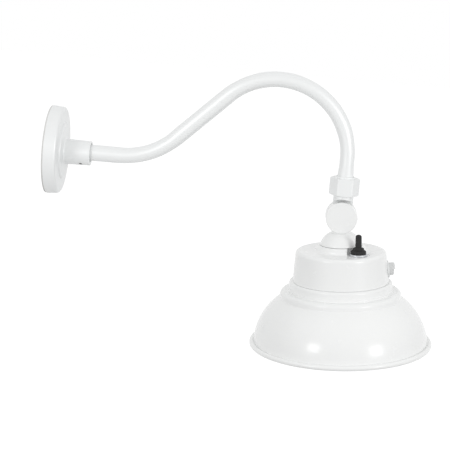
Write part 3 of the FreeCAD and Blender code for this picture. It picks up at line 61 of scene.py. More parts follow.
# Shapes are worked out in millimetres and written to the meshes in metres.
MM = 0.001
TURN = 2 * math.pi
JOINTS = {joint["name"]: joint for joint in frame["joints"]}
PIVOT = np.array(JOINTS["head_tilt"]["pos_m"]) / MM
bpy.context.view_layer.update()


# ---- settings ----

def length(name, millimetres, description):
    """A length, its default given in millimetres."""
    return FloatProperty(name=name, description=description, default=millimetres * MM, precision=5,
                         unit="LENGTH", subtype="DISTANCE")


def angle(name, degrees, description):
    """An angle, its default given in degrees."""
    return FloatProperty(name=name, description=description, default=math.radians(degrees),
                         unit="ROTATION", subtype="ANGLE")


def share(name, value, description):
    """A share from 0 to 1."""
    return FloatProperty(name=name, description=description, default=value, min=0, max=1, precision=3,
                         subtype="FACTOR")


def colour(name, value, description):
    """A colour, as linear red, green and blue."""
    return FloatVectorProperty(name=name, description=description, default=value, size=3, min=0, max=1,
                               subtype="COLOR")


def power(name, watts, description):
    """A lamp's power in watts."""
    return FloatProperty(name=name, description=description, default=watts, min=0, unit="POWER")


class CanopySettings(bpy.types.PropertyGroup):
    """Sizes of the wall canopy and its hub"""
    gasket: length("Gasket", 2.0, "Thickness of the foam between the canopy and the wall")
    back_radius: length("Back radius", 60.7, "Canopy's radius at the wall")
    front_radius: length("Front radius", 59.4, "Canopy's radius at its rounded front edge")
    edge: length("Edge", 4.0, "Radius of the rounded front edge")
    face: length("Face", 18.8, "Distance of the face's outer edge from the wall")
    foot: length("Foot", 19.5, "Distance of the raised middle's foot from the wall")
    middle: length("Middle", 22.0, "Distance of the raised middle from the wall")
    middle_radius: length("Middle radius", 38.6, "Radius of the raised middle")
    middle_edge: length("Middle edge", 2.2, "Radius of the raised middle's rounded edge")
    wall: length("Wall", 3.0, "Thickness of the casting")
    hub_root: length("Hub root", 17.45, "Hub's radius at its root")
    hub_mouth: length("Hub mouth", 16.73, "Hub's radius at its mouth")
    hub_reach: length("Hub reach", 58.0, "Distance of the hub's mouth from the wall")
    hub_drop: length("Hub drop", 1.2, "How far the hub's outside hangs below the arm's axis")
    hub_fillet: length("Hub fillet", 2.0, "Fillet between the hub and the face")
    mouth_radius: length("Mouth radius", 12.9, "Radius of the recess round the arm")
    mouth_depth: length("Mouth depth", 3.0, "Depth of the recess round the arm")
    socket_radius: length("Socket radius", 11.2, "Radius of the arm's socket")
    socket_floor: length("Socket floor", 26.0, "Distance of the socket's floor from the wall")
    wire_way: length("Wire way", 7.0, "Radius of the hole behind the socket")
    rim_screw: length("Rim screw", 8.0, "Distance of the rim screws from the wall")
    rim_hole: length("Rim hole", 2.05, "Radius of the rim screws' holes")
    set_screw: length("Set screw", 45.4, "Distance of the set screw from the wall")
    set_hole: length("Set screw hole", 2.55, "Radius of the set screw's hole")
    set_angle: angle("Set screw angle", 28.0, "Turn of the set screw from straight down")


class ArmSettings(bpy.types.PropertyGroup):
    """Sizes of the bent tube"""
    radius: length("Radius", 11.1, "Outside radius of the tube")
    wall: length("Wall", 1.6, "Wall of the tube")
    start: length("Start", 26.0, "Distance of the arm's inner end from the wall")
    crown: length("Crown", 122.5, "Height of the tube's centre line at its highest point")
    rise: angle("Rise", 44.0, "Slope of the rising run")
    low_bend: length("First bend", 110.0, "Radius of the first bend's centre line")
    high_bend: length("Second bend", 100.0, "Radius of the second bend's centre line")
    end: length("End", -21.0, "Height of the tube's lower end")
    flattening: share("Flattening", 0.055, "How much narrower the tube is in its bends")
    end_flattening: share("End flattening", 0.1, "How much narrower the tube is where the second bend ends")


class KnuckleSettings(bpy.types.PropertyGroup):
    """Sizes of the compression nut and of both halves of the knuckle"""
    nut_flats: length("Nut flats", 36.0, "Width of the compression nut across its flats")
    nut_rise: length("Nut rise", 30.6, "Height of the nut's lower face above the pivot")
    nut_height: length("Nut height", 24.0, "Height of the hexagon")
    nut_chamfer: length("Nut chamfer", 0.9, "Height of the chamfers on the nut's corners")
    nut_bore: length("Nut bore", 13.9, "Radius of the nut's thread")
    nut_mouth: length("Nut mouth", 11.4, "Radius of the nut's hole for the arm")
    collar_radius: length("Collar radius", 13.2, "Radius of the nut's collar")
    collar: length("Collar", 2.0, "Height of the nut's collar")
    neck_radius: length("Neck radius", 13.8, "Radius of the upper knuckle's neck")
    neck_top: length("Neck top", 49.0, "Height of the neck's end above the pivot")
    socket_floor: length("Socket floor", 37.0, "Height of the floor of the arm's socket above the pivot")
    relief: length("Relief", 26.0, "Radius of the neck's hollow end above the front disc")
    disc_radius: length("Disc radius", 21.7, "Radius of both discs")
    disc_face: length("Disc face", 0.35, "Distance of each disc's mating face from the middle")
    disc_back: length("Disc back", 13.5, "Distance of each disc's outer face from the middle")
    disc_edge: length("Disc edge", 1.2, "Radius of the discs' rounded edges")
    recess_radius: length("Recess radius", 6.9, "Radius of the bolt head's recess")
    recess: length("Recess", 5.5, "Depth of the bolt head's recess")
    stem_radius: length("Stem radius", 13.4, "Radius of the stem below the front disc")
    foot_top: length("Foot top", 22.3, "Drop of the bell foot's top below the pivot")
    foot_neck: length("Foot neck", 15.3, "Radius of the bell foot at its top")
    foot_radius: length("Foot radius", 29.1, "Radius of the bell foot at its rim")
    foot_curve: length("Foot curve", 27.0, "Radius of the bell foot's dome")
    foot_shoulder: length("Foot shoulder", 38.0, "Drop of the dome's lower end below the pivot")
    foot_bottom: length("Foot bottom", 38.9, "Drop of the bell foot's rim below the pivot")
    mark_radius: length("Mark radius", 2.2, "Radius of the small round mark")
    mark_across: length("Mark across", 12.0, "Distance of the mark from the pivot, towards the wall")
    mark_drop: length("Mark drop", 13.5, "Drop of the mark below the pivot")


class HeadSettings(bpy.types.PropertyGroup):
    """Sizes of the driver housing, the shade and the lens"""
    tilt: angle("Tilt", 5.0, "Slope of the head's axis from plumb")
    boss_top: length("Boss top", 39.3, "Drop of the housing's boss below the pivot")
    boss_radius: length("Boss radius", 31.4, "Radius of the boss at its top")
    boss_foot: length("Boss foot", 34.4, "Radius of the boss at its foot")
    housing_top: length("Housing top", 47.4, "Drop of the housing's flat top below the pivot")
    housing_radius: length("Housing radius", 62.5, "Radius of the housing at its top")
    housing_edge: length("Housing edge", 5.0, "Radius of the housing's rounded edge")
    housing_bottom: length("Housing bottom", 90.0, "Drop of the housing's lower edge below the pivot")
    housing_foot: length("Housing foot", 66.7, "Radius of the housing at its lower edge")
    housing_wall: length("Housing wall", 3.0, "Wall of the housing")
    shade_top: length("Shade top", 90.4, "Drop of the shade's top below the pivot")
    shade_wall: length("Shade wall", 2.4, "Wall of the shade")
    ring_radius: length("Ring radius", 71.7, "Radius of the shade's upper ring")
    ring_edge: length("Ring edge", 3.5, "Radius of the upper ring's rounded edge")
    ring_step: length("Ring step", 100.9, "Drop of the upper ring's step below the pivot")
    step_radius: length("Step radius", 72.6, "Radius of the step at the upper ring's foot")
    shoulder_top: length("Shoulder top", 103.9, "Drop of the lower ring's top below the pivot")
    shoulder_radius: length("Shoulder radius", 84.0, "Radius of the shade's lower ring")
    shoulder_edge: length("Shoulder edge", 5.5, "Radius of the lower ring's rounded edge")
    dome_start: length("Dome start", 113.9, "Drop of the flare's upper end below the pivot")
    dome_end: length("Dome end", 176.3, "Drop of the flare's lower end below the pivot")
    dome_radius: length("Dome radius", 81.0, "Radius of the flare's arc")
    dome_fillet: length("Dome fillet", 1.2, "Fillet between the lower ring and the flare")
    rim_radius: length("Rim radius", 121.35, "Radius of the flare at the bead")
    bead: length("Bead", 3.6, "Half the thickness of the rolled bead")
    lens_top: length("Lens top", 107.3, "Drop of the lens's edge below the pivot")
    lens_radius: length("Lens radius", 74.4, "Radius of the lens")
    lens_dome: length("Lens dome", 66.0, "Radius of the lens's domed part")
    lens_bulge: length("Lens bulge", 6.0, "Height of the lens's dome")
    lens_wall: length("Lens wall", 2.4, "Thickness of the lens")
    lens_ring: length("Lens ring", 80.4, "Outer radius of the ring that holds the lens")
    lens_ring_inner: length("Lens ring inner", 68.0, "Inner radius of the ring that holds the lens")
    lens_ring_under: length("Lens ring under", 111.95, "Drop of that ring's underside below the pivot")
    lens_screw_circle: length("Lens screw circle", 77.7, "Distance of the lens ring's screws from the axis")


class SwitchSettings(bpy.types.PropertyGroup):
    """Sizes of the toggle switch's boot, and its place on the housing"""
    across: length("Across", -22.5, "Place of the switch, towards the wall from the axis")
    aside: length("Aside", -32.8, "Place of the switch, towards the rear from the axis")
    level: length("Level", 47.9, "Drop of the spot face below the pivot")
    spot_radius: length("Spot radius", 15.6, "Radius of the spot face")
    bushing: length("Bushing", 6.1, "Radius of the hole for the switch's bushing")
    washer_radius: length("Washer radius", 12.4, "Radius of the washer under the boot")
    washer: length("Washer", 2.8, "Thickness of the washer under the boot")
    base_radius: length("Base radius", 10.4, "Radius of the boot's base")
    base_top: length("Base top", 7.2, "Height of the boot's base above the spot face")
    tier_radius: length("Tier radius", 7.2, "Radius of the boot's pleated tier")
    tier_top: length("Tier top", 11.0, "Height of the boot's tier above the spot face")
    finger_radius: length("Finger radius", 4.1, "Radius of the boot's finger")
    finger_top: length("Finger top", 29.2, "Height of the finger's tip above the spot face")
    tip_rounding: length("Tip rounding", 3.3, "Rounded edge of the finger's tip")
    wall: length("Wall", 1.0, "Wall of the boot")


class PhotocellSettings(bpy.types.PropertyGroup):
    """Sizes of the photocell"""
    level: length("Level", 73.9, "Drop of the photocell's axis below the pivot, at the wall")
    flange_radius: length("Flange radius", 12.0, "Radius of the flange")
    flange: length("Flange", 1.8, "Thickness of the flange")
    gasket: length("Gasket", 0.8, "Thickness of the gasket")
    barrel: length("Barrel", 7.8, "Radius of the barrel")
    barrel_length: length("Barrel length", 20.0, "Length of the barrel inside the wall")
    lens_radius: length("Lens radius", 8.8, "Radius of the sensor's window")
    upper: length("Upper half", 8.5, "Height of the window's upper half")
    lower: length("Lower half", 6.6, "Height of the window's lower half")
    slot: length("Slot", 2.0, "Width of the slot between the halves")
    slot_floor: length("Slot floor", 5.0, "Height of the slot's floor above the flange")
    rounding: length("Rounding", 2.4, "Rounded edge of the window")


class FinishSettings(bpy.types.PropertyGroup):
    """Colours and roughness of the finishes"""
    # Painted light: both coats are one white paint, but the glossy coat is given a lighter colour than the matt
    # coat so that the head reads brighter.
    powder: colour("Powder coat", (0.815, 0.822, 0.818), "Colour of the matt white powder coat")
    gloss: colour("Gloss coat", (0.91, 0.917, 0.913), "Colour of the glossy white powder coat")
    powder_roughness: share("Powder roughness", 0.4, "Roughness of the powder coat on the arm and canopy")
    gloss_roughness: share("Gloss roughness", 0.24, "Roughness of the glossy coat on the head")
    peel: length("Peel", 1.3, "Size of the orange peel in the powder coat")
    zinc: colour("Zinc", (0.56, 0.57, 0.59), "Colour of the zinc plating")
    brass: colour("Brass", (0.72, 0.55, 0.25), "Colour of the ferrule")
    black_steel: colour("Black steel", (0.022, 0.022, 0.024), "Colour of the oxidised screws")
    rubber: colour("Rubber", (0.004, 0.004, 0.0044), "Colour of the switch boot")
    foam: colour("Foam", (0.72, 0.72, 0.71), "Colour of the wall gasket")
    window: colour("Window", (0.97, 0.975, 0.975), "Colour of the photocell's window")
    lens: colour("Lens", (0.93, 0.94, 0.94), "Colour of the frosted lens")


class StudioSettings(bpy.types.PropertyGroup):
    """Floor and lamps"""
    floor: length("Floor", -620.0, "Height of the floor")
    room: FloatProperty(name="Room", description="Strength of the even light", default=0.77, min=0)
    left_box: power("Left softbox", 9.0, "Power of the left softbox")
    right_box: power("Right softbox", 10.5, "Power of the right softbox")
    box_side: length("Softbox side", 600.0, "Side of each softbox")
    box_distance: length("Softbox distance", 2300.0, "Distance of each softbox")


class Sizes:
    """The lengths of a settings group in millimetres, by name."""

    def __init__(self, group):
        self.group = group

    def __getattr__(self, name):
        return getattr(self.group, name) / MM


def sizes(part):
    """The lengths of that part's settings in millimetres."""
    return Sizes(getattr(bpy.context.scene, "sconce_" + part))


# ---- sections ----

def corner_arc(before, corner, after, radius, steps):
    """The arc that touches both lines of a corner: its start is swung to its end about its centre."""
    if radius <= 0:
        return corner[None]
    back = (before - corner) / np.linalg.norm(before - corner)
    on = (after - corner) / np.linalg.norm(after - corner)
    half = math.acos(np.clip(back @ on, -1, 1)) / 2
    start = corner + back * radius / math.tan(half)
    end = corner + on * radius / math.tan(half)
    centre = corner + (back + on) / np.linalg.norm(back + on) * radius / math.sin(half)
    swing = math.pi - 2 * half
    t = np.linspace(0, 1, steps + 1)[:, None]
    return centre + ((start - centre) * np.sin((1 - t) * swing) + (end - centre) * np.sin(t * swing)) \
        / math.sin(swing)


def guarded(points, guard=0.25):
    """The points, with two more on each long straight run, a small way in from its ends.

    They keep the shading of a rounded edge from running out over the flat beside it.
    """
    run = np.diff(points, axis=0)
    span = np.linalg.norm(run, axis=1)
    part = np.where(span > 6 * guard, guard / np.maximum(span, guard), 0)[:, None]
    row = np.stack([points[:-1], points[:-1] + run * part, points[:-1] + run * (1 - part)], axis=1)
    long = part[:, 0] > 0
    keep = np.stack([np.ones_like(long), long, long], axis=1)
    return np.vstack([row[keep], points[-1:]])


def rounded(corners, steps=7):
    """A section through corners, each a point and the radius of the arc that rounds it."""
    points = np.array([corner[:-1] for corner in corners], float)
    radii = [corner[-1] for corner in corners]
    arcs = [corner_arc(points[i - 1], points[i], points[i + 1], radii[i], steps)
            for i in range(1, len(points) - 1)]
    return guarded(np.vstack([points[:1], *arcs, points[-1:]]))


def arc(centre, radius, start, end, steps):
    """Points at equal angles on a circle, from one angle to another in degrees."""
    turn = np.radians(np.linspace(start, end, steps + 1))
    return np.array(centre) + radius * np.stack([np.cos(turn), np.sin(turn)], axis=1)


def bow(start, end, radius, steps):
    """An arc between two points that bulges to the right of the way, or to the left if radius is negative."""
    start, end = np.array(start, float), np.array(end, float)
    run = end - start
    half = np.linalg.norm(run) / 2
    right = np.array([run[1], -run[0]]) / (2 * half) * math.copysign(1, radius)
    centre = (start + end) / 2 - right * math.sqrt(radius * radius - half * half)
    swing = 2 * math.asin(half / abs(radius))
    t = np.linspace(0, 1, steps + 1)[:, None]
    return centre + ((start - centre) * np.sin((1 - t) * swing) + (end - centre) * np.sin(t * swing)) \
        / math.sin(swing)


# ---- places ----

def place(origin, first, third):
    """A frame: its origin, and a matrix whose columns are its three axes."""
    first = np.array(first, float)
    third = np.array(third, float)
    return np.array(origin, float), np.stack([first, np.cross(third, first), third], axis=1)


def within(outer, inner):
    """A frame given inside another frame."""
    return outer[0] + outer[1] @ inner[0], outer[1] @ inner[1]


def head_place():
    """The head's frame: from the pivot, first axis to the wall and third axis down through the shade."""
    tilt = bpy.context.scene.sconce_head.tilt
    c, s = math.cos(tilt), math.sin(tilt)
    return place(PIVOT, (-c, 0, -s), (s, 0, -c))


def switch_place():
    """The switch's frame on the spot face, third axis up along the boot."""
    s = sizes("switch")
    return within(head_place(), place((s.across, s.aside, s.level), (1, 0, 0), (0, 0, -1)))


def photocell_place():
    """The photocell's frame on its seat, first axis down to the shade and third axis out of the wall."""
    h = sizes("head")
    s = sizes("photocell")
    slope = (h.housing_foot - h.housing_radius) / (h.housing_bottom - h.housing_top)
    radius = h.housing_radius + (s.level - h.housing_top) * slope
    flat = s.flange_radius ** 2 / (2 * radius) + 0.05
    lean = math.atan(slope)
    c, n = math.cos(lean), math.sin(lean)
    return within(head_place(), place((flat - radius, 0, s.level), (-n, 0, c), (-c, 0, -n)))


# Frames whose third axes stand out of the wall, up the swivel, and out of the rear and front discs.
WALL = place((0, 0, 0), (0, 1, 0), (1, 0, 0))
SWIVEL = place(PIVOT, (1, 0, 0), (0, 0, 1))
REAR = place(PIVOT, (0, 0, 1), (0, 1, 0))
FRONT = place(PIVOT, (1, 0, 0), (0, -1, 0))


# ---- surfaces ----

def hexagon(turn, power=70):
    """Radius of a hexagon with its flats 1 away and its corners eased: a power sum of three waves."""
    ways = np.radians([30, 90, 150])
    return (np.abs(np.cos(turn[..., None] - ways)) ** power).sum(axis=-1) ** (-1 / power)


def softer(first, second, power=70):
    """The smaller of two lengths, blended where they are nearly equal."""
    return (first ** -power + second ** -power) ** (-1 / power)


def turned(section, where, steps=192, form=None):
    """Surface of revolution: x = r cos a, y = r sin a, z = h, for each (r, h) of a section and angle a.

    form, if given, works out r from the section and the angles instead.
    """
    turn = np.arange(steps) * TURN / steps
    radius = np.repeat(section[:, :1], steps, axis=1) if form is None else form(section, turn)
    grid = np.stack([radius * np.cos(turn), radius * np.sin(turn),
                     np.broadcast_to(section[:, 1:2], radius.shape)], axis=-1)
    return grid @ where[1].T + where[0]


def skin(grid, loop=False):
    """Vertices, quads and triangles of a grid that closes along its second direction.

    A row that is one point becomes a pole, loop joins the last row to the first, and the faces are turned so
    that the volume they enclose is positive.
    """
    rows, columns = grid.shape[:2]
    index = np.arange(rows * columns).reshape(rows, columns)
    pole = np.ptp(grid, axis=1).max(axis=1) < 1e-6
    index[pole] = index[pole][:, :1]
    low = index if loop else index[:-1]
    high = np.roll(index, -1, axis=0) if loop else index[1:]
    faces = np.stack([low, np.roll(low, -1, axis=1), np.roll(high, -1, axis=1), high], axis=-1)
    faces = faces.reshape(-1, 4)
    first = faces[:, 0] == faces[:, 1]
    last = faces[:, 2] == faces[:, 3]
    triangles = np.vstack([faces[first & ~last][:, [0, 2, 3]], faces[last & ~first][:, :3]])
    quads = faces[~first & ~last]
    used, number = np.unique(np.concatenate([quads.ravel(), triangles.ravel()]), return_inverse=True)
    points = grid.reshape(-1, 3)[used]
    quads, triangles = number[:quads.size].reshape(-1, 4), number[quads.size:].reshape(-1, 3)
    halves = points[np.vstack([quads[:, :3], quads[:, [0, 2, 3]], triangles])] - points.mean(axis=0)
    volume = np.einsum("ij,ij->", halves[:, 0], np.cross(halves[:, 1], halves[:, 2]))
    if volume < 0:
        quads, triangles = quads[:, ::-1], triangles[:, ::-1]
    return points, quads, triangles


def new_piece(name, grid, loop=False):
    """An object with the grid's skin, its points in metres in the row frame."""
    points, quads, triangles = skin(grid, loop)
    mesh = bpy.data.meshes.new(name)
    mesh.vertices.add(len(points))
    mesh.vertices.foreach_set("co", (points * MM).astype(np.float32).ravel())
    corners = np.concatenate([quads.ravel(), triangles.ravel()])
    mesh.loops.add(len(corners))
    mesh.loops.foreach_set("vertex_index", corners.astype(np.int32))
    mesh.polygons.add(len(quads) + len(triangles))
    starts = np.concatenate([np.arange(len(quads)) * 4, quads.size + np.arange(len(triangles)) * 3])
    mesh.polygons.foreach_set("loop_start", starts.astype(np.int32))
    mesh.update(calc_edges=True)
    mesh.validate()
    piece = bpy.data.objects.new(name, mesh)
    bpy.context.scene.collection.objects.link(piece)
    return piece


def combine(piece, others, operation):
    """The piece joined to other closed pieces (UNION), less them (DIFFERENCE) or inside them (INTERSECT)."""
    for other in others:
        modifier = piece.modifiers.new(other.name, "BOOLEAN")
        modifier.operation = operation
        modifier.solver = "EXACT"
        modifier.object = other
    bpy.context.view_layer.update()
    graph = bpy.context.evaluated_depsgraph_get()
    mesh = bpy.data.meshes.new_from_object(piece.evaluated_get(graph))
    if not len(mesh.polygons):
        raise RuntimeError(f"{piece.name} is empty after its {operation.lower()}")
    piece.modifiers.clear()
    spent = [piece.data] + [other.data for other in others]
    piece.data = mesh
    for other in others:
        bpy.data.objects.remove(other)
    for data in spent:
        bpy.data.meshes.remove(data)
    return piece


def block(name, where, low, high):
    """A closed box between two corners of a frame, for cutting."""
    x0, y0, z0 = low
    x1, y1, z1 = high
    ring = np.array([(x0, y0), (x1, y0), (x1, y1), (x0, y1)])
    middle = ring.mean(axis=0)
    rows = [np.repeat([middle], 4, axis=0), ring, ring, np.repeat([middle], 4, axis=0)]
    levels = np.array([z0, z0, z1, z1])[:, None, None]
    grid = np.concatenate([np.array(rows), np.broadcast_to(levels, (4, 4, 1))], axis=-1)
    return new_piece(name, grid @ where[1].T + where[0])


def drill(name, where, radius, start, end, mouth=0.0, steps=48):
    """A closed round tool along a frame's third axis, widened by mouth where it leaves the surface at end."""
    flare = [(radius, end - mouth), (radius + mouth, end)] if mouth else []
    out = end + 6
    section = np.array([(0, start), (radius, start), *flare, (radius + mouth, out), (0, out)], float)
    return new_piece(name, turned(section, where, steps))


def puck(name, where, radius, start, end):
    """A closed round slab between two levels on a frame's third axis, for cutting the knuckle."""
    section = np.array([(0, start), (radius, start), (radius, end), (0, end)], float)
    return new_piece(name, turned(section, where, KNUCKLE_STEPS))


def show(piece, body, slot, nodes, limit=30, finish=None):
    """Shade the piece, give it its slot's material or another, and let it ride and stand for its nodes."""
    mesh = piece.data
    mesh.polygons.foreach_set("use_smooth", np.ones(len(mesh.polygons), bool))
    mesh.set_sharp_from_angle(angle=math.radians(limit))
    mesh.materials.clear()
    mesh.materials.append(bpy.data.materials[finish or slot])
    if isinstance(body, str):
        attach(piece, body)
    else:
        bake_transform(piece)
    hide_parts(*nodes)
    return piece


def smoothed(node, body, slot):
    """A merged copy of a node's mesh, shaded smoothly between its edges."""
    mesh = bpy.data.meshes.new(node + "_finished")
    shape = bmesh.new()
    shape.from_mesh(frame["nodes"][node].data)
    bmesh.ops.remove_doubles(shape, verts=shape.verts, dist=1e-6)
    shape.to_mesh(mesh)
    shape.free()
    if "custom_normal" in mesh.attributes:
        mesh.attributes.remove(mesh.attributes["custom_normal"])
    piece = bpy.data.objects.new(node + "_finished", mesh)
    bpy.context.scene.collection.objects.link(piece)
    return show(piece, body, slot, [node], limit=38)


# ---- pieces ----

# Radii that fit round the arm's tube, the pivot bolt and the nipple below the knuckle.
TUBE_FIT = 11.15
BOLT_FIT = 4.05
NIPPLE_FIT = 8.1
# Steps round the knuckle's pieces, and how far their cutting tools reach.
KNUCKLE_STEPS = 224
CLEAR = 30
# How far the seal between the housing and the shade stands open.
SEAL = 0.22


def make_canopy():
    """Canopy: circles round the wall's normal, carried along its section; the hub's lie lower than the rest.

    Each row (x, r, c) is the circle y = r cos a, z = c + r sin a at the distance x from the wall. The drop c
    changes inside the flat face, where two circles with different centres still span one plane.
    """
    s = sizes("canopy")
    low = -s.hub_drop
    inner = s.middle_radius - s.wall
    start = ((s.gasket + s.face) / 2, (s.back_radius + s.front_radius) / 2, 0, 0)
    section = rounded([
        start, (s.face, s.front_radius, 0, s.edge), (s.foot, s.middle_radius, 0, 0.25),
        (s.middle, s.middle_radius, 0, s.middle_edge), (s.middle, s.middle_radius - 9, 0, 0),
        (s.middle, s.hub_root + 4, low, 0), (s.middle, s.hub_root, low, s.hub_fillet),
        (s.hub_reach, s.hub_mouth, low, 0.8), (s.hub_reach, s.mouth_radius, 0, 0.35),
        (s.hub_reach - s.mouth_depth, s.mouth_radius, 0, 0.2),
        (s.hub_reach - s.mouth_depth, s.socket_radius, 0, 0.2),
        (s.socket_floor, s.socket_radius, 0, 0), (s.socket_floor, s.wire_way, 0, 0.2),
        (s.middle - s.wall, s.wire_way, 0, 0.4), (s.middle - s.wall, inner, 0, 0.6),
        (s.foot - s.wall, inner, 0, 0.6), (s.face - s.wall, s.front_radius - s.wall, 0, s.edge),
        (s.gasket, s.back_radius - s.wall, 0, 0.3), (s.gasket, s.back_radius, 0, 0.3), start])[:-1]
    steps = 256
    turn = np.arange(steps) * TURN / steps
    grid = np.stack([np.repeat(section[:, :1], steps, axis=1), section[:, 1:2] * np.cos(turn),
                     section[:, 2:3] + section[:, 1:2] * np.sin(turn)], axis=-1)
    canopy = new_piece("canopy_casting", grid, loop=True)
    c, n = math.cos(s.group.set_angle), math.sin(s.group.set_angle)
    rim = s.back_radius - 0.55
    reach = s.hub_drop * c + math.sqrt(s.hub_mouth ** 2 - (s.hub_drop * n) ** 2)
    tools = [drill(name, place((s.rim_screw, 0, 0), (1, 0, 0), (0, 0, way)), s.rim_hole, rim - 8, rim, 0.45)
             for name, way in (("top_hole", 1), ("bottom_hole", -1))]
    under = place((s.set_screw, 0, 0), (1, 0, 0), (0, -n, -c))
    tools.append(drill("set_hole", under, s.set_hole, 9, reach + 0.25, 0.5))
    show(combine(canopy, tools, "DIFFERENCE"), "arm_assembly", "white_powder", ["canopy"])


# Steps along the arm: straight out, first bend, rising run, second bend, straight down.
ARM_STEPS = (24, 36, 31, 96, 17)


def arm_route(s, rise):
    """Points and headings along the arm's centre line: three straight runs with an arc between each two."""
    out, low_turn, climb, high_turn, down = ARM_STEPS
    c, n = math.cos(rise), math.sin(rise)
    high = np.array([PIVOT[0] - s.high_bend, s.crown - s.high_bend])
    high_start = high + s.high_bend * np.array([-n, c])
    low_rise = s.low_bend * (1 - c)
    low_x = high_start[0] - s.low_bend * n - (high_start[1] - low_rise) * c / n
    low = np.array([low_x, s.low_bend])
    low_end = np.array([low_x + s.low_bend * n, low_rise])
    first = np.linspace((s.start, 0), (low_x, 0), out + 1)[:-1]
    first_turn = np.linspace(0, rise, low_turn + 1)
    bend = low + s.low_bend * np.stack([np.sin(first_turn), -np.cos(first_turn)], axis=1)
    second = np.linspace(low_end, high_start, climb + 1)[1:-1]
    last_turn = np.linspace(rise, -math.pi / 2, high_turn + 1)
    crown = high + s.high_bend * np.stack([-np.sin(last_turn), np.cos(last_turn)], axis=1)
    drop = np.linspace((PIVOT[0], high[1]), (PIVOT[0], s.end), down + 1)[1:]
    heading = np.concatenate([np.zeros(len(first)), first_turn, np.full(len(second), rise), last_turn,
                              np.full(len(drop), -math.pi / 2)])
    return np.vstack([first, bend, second, crown, drop]), heading


def plateau(t, rise_start, rise_end, fall_start, fall_end):
    """A wave that rises from 0 to 1 and falls back, with smooth steps."""
    up = np.clip((t - rise_start) / (rise_end - rise_start), 0, 1)
    down = np.clip((t - fall_start) / (fall_end - fall_start), 0, 1)
    return up * up * (3 - 2 * up) * (1 - down * down * (3 - 2 * down))


def make_arm():
    """Arm: an ellipse carried along the route, its short axis in the plane of the bends.

    The point at the angle a is centre + across r (1 - f) cos a + aside r (1 + f/2) sin a. The flattening f
    grows in the bends and is most where the second bend ends. The inner wall runs back the same way.
    """
    s = sizes("arm")
    route, heading = arm_route(s, s.group.rise)
    run = np.concatenate([[0], np.cumsum(np.linalg.norm(np.diff(route, axis=0), axis=1))])
    low_start, low_end, high_start, high_end = run[np.cumsum(ARM_STEPS)[:-1]]
    first = plateau(run, low_start - 8, low_start + 14, low_end - 14, low_end + 6)
    second = plateau(run, high_start - 4, high_start + 20, high_end - 42, high_end - 20)
    last = plateau(run, high_end - 42, high_end - 20, high_end + 6, high_end + 27)
    flat = s.group.flattening * (first + second) + s.group.end_flattening * last
    steps = 96
    turn = np.arange(steps) * TURN / steps
    across = np.stack([-np.sin(heading), np.zeros_like(heading), np.cos(heading)], axis=1)
    centre = np.stack([route[:, 0], np.zeros(len(route)), route[:, 1]], axis=1)

    def wall(radius):
        """One skin of the tube."""
        wide = (radius * (1 - flat))[:, None] * np.cos(turn)
        painted_edge_shade = (radius * (1 + flat / 2))[:, None] * np.sin(turn)
        return centre[:, None] + across[:, None] * wide[..., None] + np.array([0, 1, 0]) * painted_edge_shade[..., None]

    grid = np.vstack([wall(s.radius), wall(s.radius - s.wall)[::-1]])
    show(new_piece("arm_tube", grid, loop=True), "arm_assembly", "white_powder", ["arm"])


def make_nut():
    """Compression nut: at each height, r is the smaller of a hexagon and the cone that cuts its corners."""
    s = sizes("knuckle")
    half = s.nut_flats / 2
    corner = half / math.cos(math.pi / 6)
    seat = s.nut_height - 2.4
    chamfer = np.linspace(0, 1, 8) * s.nut_chamfer * 1.3
    height = np.concatenate([chamfer, np.linspace(1.5, s.nut_height - 1.5, 12),
                             s.nut_height - chamfer[::-1]])
    ends = np.minimum(height, s.nut_height - height) / s.nut_chamfer
    limit = half + 0.05 + (corner - half) * ends
    below = rounded([(s.nut_bore, s.nut_height / 2, 0), (s.nut_bore, 0, 0.5), (half - 0.3, 0, 0)])
    above = rounded([
        (half - 0.3, s.nut_height, 0), (s.collar_radius, s.nut_height, 0.4),
        (s.collar_radius, s.nut_height + s.collar, 0.8), (s.nut_mouth, s.nut_height + s.collar, 0.5),
        (s.nut_mouth, seat, 0.2), (s.nut_bore, seat, 0.2), (s.nut_bore, s.nut_height / 2, 0)])[:-1]
    section = np.vstack([below, np.stack([limit, height], axis=1), above])
    faces = np.zeros(len(section), bool)
    faces[len(below):len(below) + len(height)] = True

    def form(points, turn):
        """The section's radii, and the smaller of hexagon and cone on the faces."""
        radius = np.repeat(points[:, :1], len(turn), axis=1)
        radius[faces] = softer(radius[faces], half * hexagon(turn)[None], 60)
        return radius

    where = place(PIVOT + (0, 0, s.nut_rise), (1, 0, 0), (0, 0, 1))
    nut = new_piece("compression_nut_body", turned(section, where, 288, form), loop=True)
    show(nut, "swivel", "white_powder", ["compression_nut"], limit=35)


def disc_section(s, bore, recess):
    """Section of a knuckle disc from its mating face outwards, closed through its bore or at its axis."""
    rim = [(s.disc_radius, s.disc_face, 0.3), (s.disc_radius, s.disc_back, s.disc_edge)]
    if not bore:
        return rounded([(0, s.disc_face, 0), *rim, (0, s.disc_back, 0)])
    floor = s.disc_back - recess
    start = (bore, floor / 2, 0)
    return rounded([start, (bore, s.disc_face, 0.2), *rim, (s.recess_radius, s.disc_back, 0.5),
                    (s.recess_radius, floor, 0.2), (bore, floor, 0.2), start])[:-1]


